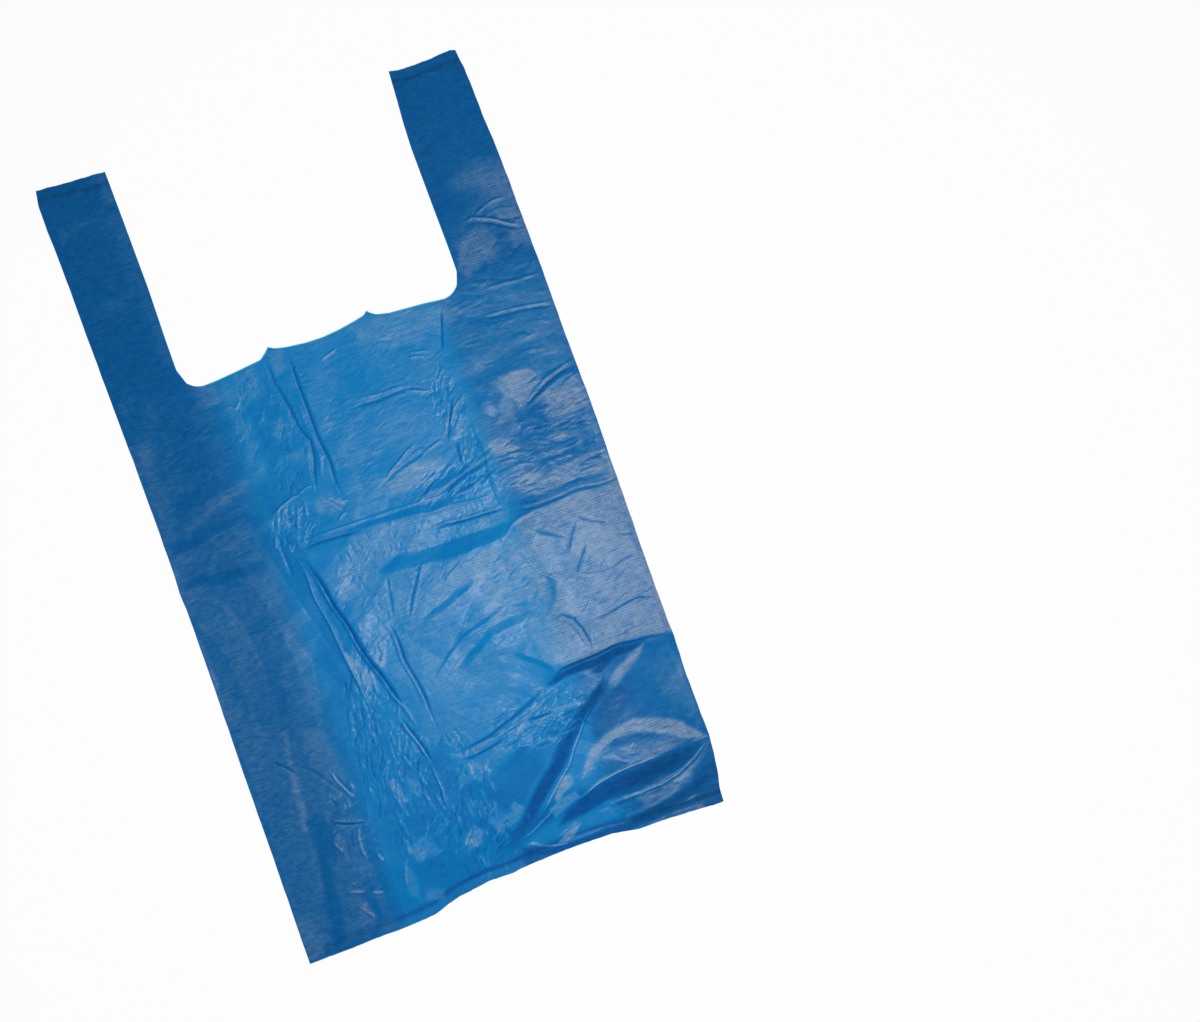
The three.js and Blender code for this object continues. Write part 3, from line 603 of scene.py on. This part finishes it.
    (-0.3, 6, [(70, -152), (84, -150), (96, -152), (84, -164), (70, -168)]),
    (-0.15, 6, [(24, -152), (44, -150), (66, -146), (66, -158), (50, -172), (24, -168)]),
    (-0.25, 5, [(65, -180), (73, -180), (84, -184), (74, -190), (60, -190)]),
    (0.52, 4, [(86, 112), (91, 122), (97, 128), (103, 130), (100, 118), (96, 108), (90, 104), (87, 107)]),
    (0.45, 3, [(-33.5, 103), (-24, 102), (-25, 90), (-33, 88)]),
    (0.42, 3, [(36, 99.5), (46, 98.5), (50, 94), (44, 90), (38, 93)]),
    (0.32, 3.5, [(-46, 57), (-38, 67), (-36, 60), (-42, 52)]),
    (0.32, 3.5, [(-42, 44), (-30, 46), (-30, 40), (-40, 39)]),
    (0.34, 3, [(1, 31), (12, 39.5), (14, 36), (6, 30)]),
    (0.54, 4, [(-98, -104), (-95, -104), (-98, -135), (-100, -162), (-105, -163), (-103, -140)]),
    (0.3, 4, [(-104, -164), (-101, -166), (-105, -200), (-110, -202)]),
    (-0.1, 6, [(-122, -5), (-96, -8), (-74, -7), (-74, -12), (-98, -12), (-122, -9)]),
    (-0.1, 6, [(-122, 13), (-98, 15), (-74, 17), (-74, 22), (-98, 20), (-122, 17)]),
    (0.36, 6, [(-112, 19), (-96, 24), (-70, 33), (-66, 38), (-70, 40), (-96, 32), (-112, 25)]),
    (0.28, 5, [(-104, 7), (-84, 9), (-66, 12), (-66, 7), (-84, 4), (-104, 3)]),
    (0.27, 8, [(-118, -16), (-80, -20), (-72, -30), (-76, -44), (-116, -46)]),
    (0.12, 8, [(-118, 150), (-90, 158), (-88, 166), (-118, 160)]),
    (0.16, 8, [(-124, 199), (-96, 205), (-96, 214), (-124, 208)]),
    (0.5, 3, [(-90, -211), (-84, -211), (-82, -222), (-89, -222)]),
    (0.4, 4, [(-126, -210), (-119, -210), (-115, -222), (-118, -232), (-127, -232)]),
    (0.42, 3, [(-90, -168), (-85, -168), (-84, -181), (-88, -182)]),
    (-0.02, 4, [(-74, -172), (-66, -168), (-64, -204), (-66, -230), (-72, -230)]),
    (0.05, 3, [(-102, -156), (-92, -154), (-88, -166), (-92, -184), (-100, -180)]),
]

# Scattered creases: how many, the middle of their zone, its two reaches, their direction and its
# spread in degrees, the most length and height of a crease, and its usual reach
SCATTER = [
    (110, (102, -6), (32, 20), 2, 28, 15, 0.13, 0.8),
    (60, (112, 22), (20, 20), 12, 30, 15, 0.11, 0.8),
    (36, (100, 70), (32, 30), -6, 30, 21, 0.09, 1.4),
    (28, (110, 118), (20, 26), 20, 90, 18, 0.09, 1.4),
    (46, (98, -76), (36, 44), 25, 70, 12, 0.05, 0.9),
    (120, (42, -2), (24, 10), 22, 35, 14, 0.11, 0.8),
    (80, (-52, 4), (14, 13), 80, 90, 10, 0.10, 0.75),
    (98, (20, -22), (46, 12), 70, 90, 7.5, 0.09, 0.9),
    (90, (-28, -52), (18, 36), 60, 90, 9, 0.09, 0.9),
    (230, (-44, -140), (18, 62), 78, 55, 13, 0.10, 0.8),
    (125, (-14, -170), (20, 44), 70, 67.5, 12, 0.11, 1),
    (150, (26, -72), (40, 36), 24, 45, 13, 0.06, 0.9),
    (130, (44, -146), (28, 16), 25, 60, 13, 0.11, 0.8),
    (56, (-10, -205), (34, 16), 50, 112.5, 10.5, 0.12, 1),
    (33, (98, -180), (34, 14), -10, 45, 15, 0.04, 1.1),
    (42, (92, -211), (38, 8), 5, 37.5, 13.5, 0.09, 1),
    (90, (55, 30), (9, 34), 62, 34, 13, 0.10, 0.8),
    (84, (14, 34), (44, 30), 5, 37.5, 13.5, 0.06, 1),
    (90, (-46, 62), (20, 38), 66, 60, 12, 0.07, 0.9),
    (120, (10, 70), (60, 30), 8, 60, 14, 0.05, 0.9),
    (56, (-78, -180), (14, 44), 60, 105, 9, 0.08, 0.9),
    (36, (-100, -60), (26, 120), 20, 90, 15, 0.03, 1.4),
    (60, (-100, 150), (22, 80), 8, 40, 16, 0.03, 1.2),
    (50, (-98, 40), (26, 60), 12, 40, 20, 0.035, 1.3),
]
print(len(FOLDS), "folds,", len(LEDGES), "ledges and", len(PATCHES), "patches are placed by hand")


# %% [markdown]
# ## The front panel
#
# The front panel starts as the stack of layers that it lies on, three over a gusset and one in the
# middle, and swells gently away from its edges. The big level plate on its right side stands
# highest. Then come the traced folds, the scattered small ones and the broad facets. The panel's
# grid is fine enough for creases a millimetre wide, so it is written as five meshes that share
# their normals along the lines where they meet.
#
# Each place's tone also takes a little from how far the film there leans towards the lamp. That is
# light laid on as colour. It makes the creases read at this size, but stays put if the lamp moves.

# %% The heights
LAYER = 0.3
SEAL_MARGIN = 6.0
NOSE = 66.0
STACK_STEP = 34.0
PUFF = 3.6
PUFF_REACH = 58.0
BODY_REACH = 34.0
BODY_TOP = 96.0
BODY_FADE = 70.0
LOFT = 0.9
PLATE_HEIGHT = 2.4
PLATE_BLUR = 50.0
HELD_DOWN = 4.0
SHARP = 0.8
CREST = 0.25
SMALL_CREST = 0.3
CREASE_WIDTH = 1.4
SMALL_CREASE_WIDTH = 1.3
RELIEF_LIT = 1.6
FACETS_LIT = 0.6
MOST_LIT = 0.5
LAMP_AT = (94.0, -103.0)
LAMP_NEARBY = 30.0
PLATE = [(66, -40), (80, -33), (133, -32), (133, -124), (86, -121), (64, -121), (60, -100), (70, -70)]

# Facets and crinkles: a seed, the waves' length and slope, how many, and a direction with its spread
FACETS = [(11, 46, 0.030, 3), (12, 19, 0.024, 4, 2.0, 1.5)]
CRINKLES = [(13, 9, 0.05, 4, 1.4, 1.6), (14, 3.6, 0.06, 5, 1.5, 1.8)]


def edge_fades(x, y):
    """How far each place lies from the nearer folded edge, from the bottom weld and the top welds."""
    left = read_off(LEFT_EDGE, y)
    right = read_off(RIGHT_EDGE, y)
    from_side = np.minimum(x - left, right - x)
    from_bottom = y - read_off(BOTTOM_EDGE, x) - SEAL_MARGIN
    from_top = read_off(HANDLE_TOPS, x) - SEAL_MARGIN - y
    return from_side, from_bottom, from_top


def slackness(x, y, width):
    """0 along the folded edges and the welds, where the film is held down, and 1 from width on."""
    from_side, from_bottom, from_top = edge_fades(x, y)
    return ease(from_side / width) * ease(abs(from_bottom) / width) * ease(abs(from_top) / width)


def scatter(panel, seed):
    """Adds the scattered creases. Each is a short bowed line, raised or sunk, with its own tone: a painted
    highlight along a raised one and painted shade along a sunk one.
    """
    rng = np.random.default_rng(seed)
    for count, (mx, my), (rx, ry), turn, spread, length, height, reach in SCATTER:
        for _ in range(count):
            out, around = math.sqrt(rng.random()), 2 * math.pi * rng.random()
            px, py = mx + rx * out * math.cos(around), my + ry * out * math.sin(around)
            angle = math.radians(turn + spread * (rng.random() - 0.5))
            half = length * (0.2 + 0.3 * rng.random())
            bow = half * 0.3 * (rng.random() - 0.5)
            dx, dy = math.cos(angle), math.sin(angle)
            start, middle = (px - dx * half, py - dy * half), (px - dy * bow, py + dx * bow)
            points = [start, middle, (px + dx * half, py + dy * half)]
            up = 1 if rng.random() < 0.6 else -1
            size = 0.35 + 0.65 * rng.random()
            on_left, on_right = reach * (0.5 + rng.random()), reach * (0.5 + rng.random())
            panel.fold(points, up * height * size, on_left, on_right, SMALL_CREST)
            # Painted highlight along a raised crease, painted shade along a sunk one.
            panel.stroke(points, up * min(0.6, height * 4.5) * size, SMALL_CREASE_WIDTH, over=0.3)


def lean(x, y, height):
    """The slope at each place towards the lamp, weaker right below it: positive where film faces it."""
    over_x = np.gradient(height, axis=1) / np.gradient(x, axis=1)
    over_y = np.gradient(height, axis=0) / np.gradient(y, axis=0)
    dx, dy = LAMP_AT[0] - x, LAMP_AT[1] - y
    return -(over_x * dx + over_y * dy) / (np.hypot(dx, dy) + LAMP_NEARBY)


def crumpledness(x, y):
    """How crumpled each place is: the scattered zones, weighed by how closely they are filled."""
    total = np.full(x.shape, 0.25)
    for count, (mx, my), (rx, ry), _, _, length, height, _ in SCATTER:
        weight = count * length * height / (rx * ry)
        total += 2.2 * weight * np.exp(-1.4 * (((x - mx) / rx) ** 2 + ((y - my) / ry) ** 2))
    return np.minimum(total, 1.6)


def front_panel(x, y):
    """The front panel's height and tone. The tone holds painted sheen and painted shade, and a share worked
    out from how the relief leans towards the lamp.
    """
    panel = Panel(x, y)
    # Regions and patches: painted sheen where the tone is pale, painted shade where it is deep.
    for tone, blur, corners in REGIONS:
        panel.patch(corners, tone, blur)
    for tone, blur, corners in PATCHES:
        panel.patch(corners, tone, blur)
    for drop, width, recover, tone, points in LEDGES:
        panel.ledge(points, drop, width, recover)
        # The ledge's face: painted shade where its tone is negative, painted sheen where it is positive.
        panel.stroke(points, tone, width)
    scatter(panel, 7)
    for height, left, right, tone, points in FOLDS:
        panel.fold(points, SHARP * height, SHARP * left, SHARP * right, CREST)
        # The fold's line: painted highlight where its tone is positive, painted shade where it is negative.
        panel.stroke(points, tone, CREASE_WIDTH)
    from_side, from_bottom, from_top = edge_fades(x, y)
    over_gusset = ease((abs(x - 1) - NOSE + 10) / STACK_STEP)
    stack = LAYER * (1.5 + 2.0 * over_gusset)
    body = ease(from_bottom / BODY_REACH) * (1 - ease((y - BODY_TOP) / BODY_FADE))
    swell = PUFF * ease(from_side / PUFF_REACH) * body
    swell += LOFT * ease(from_side / 20) * ease(abs(from_bottom) / 14) * ease(from_top / 20)
    plate = Panel(x, y)
    plate.patch(PLATE, PLATE_HEIGHT, PLATE_BLUR)
    slack = slackness(x, y, HELD_DOWN)
    facets = sum(folded_waves(x, y, *row) for row in FACETS)
    crinkles = sum(folded_waves(x, y, *row) for row in CRINKLES)
    relief = slack * (panel.height + facets * (0.5 + 0.7 * body) + crinkles * crumpledness(x, y))
    lit = RELIEF_LIT * lean(x, y, relief) + FACETS_LIT * lean(x, y, facets)
    panel.tone += np.clip(lit, -MOST_LIT, MOST_LIT)
    panel.height = stack + swell + relief + slack * plate.tone * body
    return panel


# %% Write a grid as a mesh
WELD_REACH = 1.6


def sheet_mesh(name, x, y, z, keep, attributes):
    """A mesh of the quads between rows of points, leaving out those where keep is false. Its
    normals are worked out from the whole grid, so that neighbouring meshes agree on them."""
    rows, columns = x.shape
    index = np.arange(rows * columns).reshape(rows, columns)
    quads = np.stack([index[:-1, :-1], index[:-1, 1:], index[1:, 1:], index[1:, :-1]], axis=-1)
    used, quads = np.unique(quads[keep], return_inverse=True)
    quads = quads.reshape(-1, 4)
    grid = np.stack([x - CENTRE_X, y, z], axis=-1)
    normals = np.cross(np.gradient(grid, axis=1), np.gradient(grid, axis=0)).reshape(-1, 3)
    normals /= np.linalg.norm(normals, axis=1, keepdims=True)
    points = grid.reshape(-1, 3)[used] * MM
    mesh = bpy.data.meshes.new(name)
    mesh.vertices.add(len(points))
    mesh.vertices.foreach_set("co", points.ravel().astype(np.float32))
    mesh.loops.add(quads.size)
    mesh.loops.foreach_set("vertex_index", quads.ravel().astype(np.int32))
    mesh.polygons.add(len(quads))
    mesh.polygons.foreach_set("loop_start", np.arange(0, quads.size, 4, dtype=np.int32))
    mesh.polygons.foreach_set("use_smooth", np.ones(len(quads), bool))
    mesh.update(calc_edges=True)
    mesh.validate()
    mesh.normals_split_custom_set_from_vertices(normals[used].astype(np.float32))
    for key, values in attributes.items():
        layer = mesh.attributes.new(key, "FLOAT", "POINT")
        layer.data.foreach_set("value", values.ravel()[used].astype(np.float32))
    piece = bpy.data.objects.new(name, mesh)
    bpy.context.scene.collection.objects.link(piece)
    print(name, "has", len(quads) * 2, "triangles")
    return piece


def weld_mark(x, y):
    """1 along the bottom weld and the two handle welds, and 0 from 1.6 mm off their middle lines."""
    _, from_bottom, from_top = edge_fades(x, y)
    return np.maximum(ease(WELD_REACH - abs(from_bottom)), ease(WELD_REACH - abs(from_top)))


# %% Make the front panel
FRONT_STEP = 0.55
FRONT_MESHES = 5

fx, fy, root, marks = plan(FRONT_STEP, FRONT_STEP)
panel = front_panel(fx, fy)
fz = panel.height
fz[:, 0] -= LAYER * 0.5
fz[:, -1] -= LAYER * 0.5
left_by_die = uncut(fx, root, marks)
row = np.arange(len(left_by_die))[:, None]
cuts = np.linspace(0, len(fy), FRONT_MESHES + 1).astype(int)
# The tone attribute carries the painted sheen and painted shade to the film's material.
looks = {"tone": panel.tone, "weld": weld_mark(fx, fy), "thin": np.zeros(fx.shape)}
front = []
for k in range(FRONT_MESHES):
    belongs = left_by_die & (row >= cuts[k]) & (row < cuts[k + 1])
    front.append(sheet_mesh(f"front_panel_{k + 1}", fx, fy, fz, belongs, looks))
print("the front panel stands up to", fz.max(), "mm high")

# %% [markdown]
# ## The layers below
#
# Under the front panel lie the two layers of each gusset and the back panel. They can hardly be
# seen as shapes, but each one darkens the blue, so the handles and the sides, with four layers,
# are nearly navy. They are flatter than the front, because they lie on the table.

# %% Make the back panel and the gussets
UNDER_STEPS = (3.0, 2.4)
UNDER_HELD_DOWN = 5.0
MOST_CRUMPLE = 0.13
NOSE_FADE = 32.0

# Where the gussets' colour is partly lost: the share that is, how wide its edge is, and its corners
THIN = [
    (0.12, 30, [(66, 234), (132, 234), (132, 110), (66, 110)]),
    (0.62, 24, [(66, 104), (132, 104), (132, 24), (66, 24)]),
    (0.35, 24, [(66, 24), (132, 24), (132, -120), (66, -120)]),
    (0.32, 18, [(66, -128), (132, -128), (132, -176), (66, -176)]),
    (0.1, 24, [(-130, -10), (-66, -10), (-66, -70), (-130, -70)]),
]


def under_height(x, y, seed, level):
    """A layer that lies nearly flat at its level, with a little crumple of its own."""
    facets = folded_waves(x, y, seed, 22, 0.012, 3) + folded_waves(x, y, seed + 1, 9, 0.018, 3)
    return level + slackness(x, y, UNDER_HELD_DOWN) * np.clip(facets, -MOST_CRUMPLE, MOST_CRUMPLE)


def thinness(x, y):
    """How little of a gusset's colour is seen: none at its nose, and more and more outwards from it."""
    panel = Panel(x, y)
    beside = np.clip((abs(x - 1) - NOSE + 1) / NOSE_FADE, 0, 1)
    for share, blur, corners in THIN:
        panel.patch(corners, share, blur)
    return np.maximum(panel.tone, (1 - beside) ** 1.6)


def under_layer(name, first, last, seed, level, faces_up):
    """One layer below the front, between two lines of the plan. It meets its neighbour at each fold."""
    x, y, root, marks = plan(*UNDER_STEPS)
    z = under_height(x, y, seed, level)
    keep = uncut(x, root, marks, first, last)
    weld = weld_mark(x, y)
    if not faces_up:
        x, y, z, weld, keep = (a[:, ::-1] for a in (x, y, z, weld, keep))
    thin = thinness(x, y) if last - first < BANDS else np.zeros(x.shape)
    return sheet_mesh(name, x, y, z, keep, {"tone": np.zeros(x.shape), "weld": weld, "thin": thin})


back = under_layer("back_panel", 0, BANDS, 31, LAYER * 0.5, False)
gussets = [
    under_layer("left_gusset_lower", 0, 2, 41, LAYER * 1.5, True),
    under_layer("left_gusset_upper", 0, 2, 42, LAYER * 2.5, False),
    under_layer("right_gusset_lower", 3, BANDS, 43, LAYER * 1.5, True),
    under_layer("right_gusset_upper", 3, BANDS, 44, LAYER * 2.5, False),
]

# %% [markdown]
# ## Shader maths
#
# A small class wraps a node's output, so that shader maths reads as sums do.

# %% A field is a number that changes over the surface
class Field:
    """A socket that takes part in sums: each operator adds the Math node that works it out."""

    def __init__(self, tree, socket):
        self.tree = tree
        self.socket = socket

    def _math(self, operation, *values):
        return make(self.tree, "ShaderNodeMath", {"operation": operation}, dict(enumerate(values)))

    def __add__(self, other):
        return self._math("ADD", self, other)

    def __sub__(self, other):
        return self._math("SUBTRACT", self, other)

    def __rsub__(self, other):
        return self._math("SUBTRACT", other, self)

    def __mul__(self, other):
        return self._math("MULTIPLY", self, other)

    def power(self, other):
        return self._math("POWER", self, other)

    def sine(self):
        return self._math("SINE", self)

    def size(self):
        return self._math("ABSOLUTE", self)

    def least(self, other):
        return self._math("MINIMUM", self, other)

    def most(self, other):
        return self._math("MAXIMUM", self, other)

    __radd__ = __add__
    __rmul__ = __mul__


def make(tree, kind, settings, values, output=0):
    """Adds a node of any kind: its settings first, then the values or links of its sockets."""
    node = tree.nodes.new(kind)
    for key, value in settings.items():
        setattr(node, key, value)
    for key, value in values.items():
        if isinstance(value, Field):
            tree.links.new(value.socket, node.inputs[key])
        else:
            node.inputs[key].default_value = value
    return Field(tree, node.outputs[output])


# %% [markdown]
# ## The film
#
# Blue film lets most light through, tinted, and scatters a little of it. Its skin is glossy but not clear:
# the facets have a soft sheen. So the finish is a see-through tint mixed with a little glossy blue. Where
# the tone is pale, more of the glossy body, turned a pale colour, is mixed in as painted sheen. Where it is
# deep, a darker tint is mixed in as painted shade, and along folds as film lying double; the welds take
# some of that darker tint too. The film is embossed with a fine grid of dots, which shows mostly where the
# lamp catches it and in the painted sheen, and it carries crinkles finer than the mesh. Both are bumps, and
# both also vary the painted sheen a little.

# %% Make the film's material
TINT = (0.18, 0.67, 0.85, 1.0)
# The darker tint, for painted shade, film lying double and the welds.
DEEP_TINT = (0.01, 0.29, 0.60, 1.0)
PIGMENT = (0.03, 0.40, 0.74, 1.0)
# The colour of the painted sheen.
PAINTED_SHEEN_COLOUR = (0.54, 0.66, 0.78, 1.0)
BODY_SHARE = 0.15
# How much the painted sheen raises the glossy body's share.
PAINTED_SHEEN_SHARE = 0.22
GRAIN_SHARE = 0.13
ROUGHNESS = 0.34
COAT = 0.14
DOT_PITCH = 1.5


def film_material():
    """Tinted clear film mixed with a thin glossy body, bumped by crinkles and an embossed grid. The tone
    paints sheen into the body and shade into the tint.
    """
    material = bpy.data.materials.new("blue_film")
    material.use_nodes = True
    tree = material.node_tree
    tree.nodes.clear()
    place = make(tree, "ShaderNodeTexCoord", {}, {}, "Object")
    tone = make(tree, "ShaderNodeAttribute", {"attribute_name": "tone"}, {}, "Fac")
    weld = make(tree, "ShaderNodeAttribute", {"attribute_name": "weld"}, {}, "Fac")
    thin = make(tree, "ShaderNodeAttribute", {"attribute_name": "thin"}, {}, "Fac")
    across = make(tree, "ShaderNodeSeparateXYZ", {}, {"Vector": place}, "X")
    along = Field(tree, across.socket.node.outputs["Y"])
    turns = 2 * math.pi / (DOT_PITCH * MM)
    dots = ((across * turns).sine() + (along * turns).sine()) * 0.5
    combed = make(tree, "ShaderNodeMapping", {}, {"Vector": place, "Scale": (0.16, 1.0, 1.0)})
    streaks = make(tree, "ShaderNodeTexNoise", {}, {"Vector": combed, "Scale": 900.0, "Detail": 1.0}, "Fac")
    mottle = make(tree, "ShaderNodeTexNoise", {}, {"Vector": place, "Scale": 300.0, "Detail": 3.0}, "Fac")
    grain = (streaks - 0.5) * 0.9 + (mottle - 0.5) * 0.9
    # The tone's pale side is painted sheen, broken up by the grain and the dots; the grain and dots also
    # run everywhere as the film's own texture.
    painted_sheen_and_grain = tone.most(0.0) * (grain * 0.6 + dots * 0.28 + 1.0) + (grain + dots * 0.2) * 0.16
    painted_sheen_and_grain = painted_sheen_and_grain.most(0.0).least(1.0)
    # The tone's deep side is painted shade, and along folds film lying double; the welds add their own
    # darker blue.
    deep = ((tone * -1.0).most(0.0) + weld * 0.4).least(1.0)
    crinkle = (mottle - 0.5).size()
    relief = streaks * 0.00005 + crinkle * 0.00012 + dots * 0.000012
    bump = make(tree, "ShaderNodeBump", {}, {"Strength": 1.0, "Distance": 1.0, "Height": relief}, "Normal")
    # The body's colour turns towards the painted sheen colour as the painted sheen grows.
    paleness = painted_sheen_and_grain.power(1.6)
    colour = make(tree, "ShaderNodeMix", {"data_type": "RGBA"}, {0: paleness, 6: PIGMENT, 7: PAINTED_SHEEN_COLOUR}, 2)
    body = make(tree, "ShaderNodeBsdfPrincipled", {}, {
        "Base Color": colour, "Roughness": deep * 0.4 + ROUGHNESS, "Normal": bump,
        "Specular IOR Level": 0.2, "IOR": 1.5, "Specular Tint": (0.6, 0.88, 1.0, 1.0),
        "Coat Weight": (1.0 - painted_sheen_and_grain) * (1.0 - deep) * COAT, "Coat Roughness": 0.2, "Coat IOR": 1.5,
    })
    clear = make(tree, "ShaderNodeBsdfTransparent", {}, {"Color": TINT})
    # The darker tint, mixed in for painted shade, film lying double and the welds.
    double = make(tree, "ShaderNodeBsdfTransparent", {}, {"Color": DEEP_TINT})
    bare = make(tree, "ShaderNodeBsdfTransparent", {}, {"Color": (1.0, 1.0, 1.0, 1.0)})
    see_through = make(tree, "ShaderNodeMixShader", {}, {0: deep, 1: clear, 2: double})
    # The painted sheen also thickens the glossy body.
    share = BODY_SHARE + painted_sheen_and_grain * PAINTED_SHEEN_SHARE + grain * GRAIN_SHARE
    film = make(tree, "ShaderNodeMixShader", {}, {0: share, 1: see_through, 2: body})
    mixed = make(tree, "ShaderNodeMixShader", {}, {0: thin, 1: film, 2: bare})
    out = tree.nodes.new("ShaderNodeOutputMaterial")
    tree.links.new(mixed.socket, out.inputs["Surface"])
    return material


blue_film = film_material()
for piece in [*front, back, *gussets]:
    piece.data.materials.append(blue_film)
    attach(piece, "root")
    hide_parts("carrier_bag")

# %% [markdown]
# ## The table, the lamp and the camera
#
# The bag lies on a plain white table. One small lamp hangs beside the camera: film that lies level between
# the two shines pale, and elsewhere only the facets that tilt towards it do. Much of that paleness is also
# painted into the film's tone as sheen.

# %% The table
TABLE_REACH = 4.0
WHITE_SHARE = 0.9


def table():
    """A flat white sheet, much larger than the view. Under the film it is matt. Where the camera
    sees it bare, nine tenths of it is plain white light, and the matt tenth keeps the shadow."""
    mesh = bpy.data.meshes.new("table")
    corners = [(i * TABLE_REACH, j * TABLE_REACH, 0) for i, j in ((-1, -1), (1, -1), (1, 1), (-1, 1))]
    mesh.from_pydata(corners, [], [(0, 1, 2, 3)])
    floor = bpy.data.objects.new("table", mesh)
    bpy.context.scene.collection.objects.link(floor)
    material = bpy.data.materials.new("white_table")
    material.use_nodes = True
    tree = material.node_tree
    tree.nodes.clear()
    rays = tree.nodes.new("ShaderNodeLightPath")
    seen = Field(tree, rays.outputs["Is Camera Ray"]).most(Field(tree, rays.outputs["Is Glossy Ray"]))
    seen = seen.most(Field(tree, rays.outputs["Is Transmission Ray"]))
    bare = 1.0 - Field(tree, rays.outputs["Transparent Depth"]).least(1.0)
    matt = make(tree, "ShaderNodeBsdfDiffuse", {}, {"Color": (0.96, 0.96, 0.96, 1)})
    white = make(tree, "ShaderNodeEmission", {}, {"Color": (1, 1, 1, 1), "Strength": 1.0})
    mixed = make(tree, "ShaderNodeMixShader", {}, {0: seen * bare * WHITE_SHARE, 1: matt, 2: white})
    out = tree.nodes.new("ShaderNodeOutputMaterial")
    tree.links.new(mixed.socket, out.inputs["Surface"])
    mesh.materials.append(material)
    return floor


table()

# %% The lamp and the world
LAMP_HEIGHT = 1.1
LAMP_SIZE = 0.05
LAMP_LIGHT = 0.92
ROOM_COLOUR = (0.9, 0.95, 1.0, 1)
ROOM_LIGHT = 0.06


def lamp(name, place, size, light):
    """A round lamp that points straight down, as strong as gives the table that light below it."""
    data = bpy.data.lights.new(name, "AREA")
    data.shape = "DISK"
    data.size = size
    data.energy = light * math.pi ** 2 * place[2] ** 2
    holder = bpy.data.objects.new(name, data)
    holder.location = place
    bpy.context.scene.collection.objects.link(holder)


lamp("key_lamp", (LAMP_AT[0] * MM, LAMP_AT[1] * MM, LAMP_HEIGHT), LAMP_SIZE, LAMP_LIGHT)
world = bpy.data.worlds.new("room")
bpy.context.scene.world = world
world.use_nodes = True
background = world.node_tree.nodes["Background"]
background.inputs["Color"].default_value = ROOM_COLOUR
background.inputs["Strength"].default_value = ROOM_LIGHT
bpy.context.scene.view_settings.view_transform = "Standard"

# %% The camera
CAMERA_HEIGHT = 1.62
CAMERA_AT = (114.05, -45.8)
CAMERA_TURN = -19.55

eye = bpy.data.cameras.new("camera")
eye.lens = 85.0
eye.sensor_width = 36.0
camera = bpy.data.objects.new("camera", eye)
camera.location = (CAMERA_AT[0] * MM, CAMERA_AT[1] * MM, CAMERA_HEIGHT)
camera.rotation_euler = (0.0, 0.0, math.radians(CAMERA_TURN))
bpy.context.scene.collection.objects.link(camera)
bpy.context.scene.camera = camera
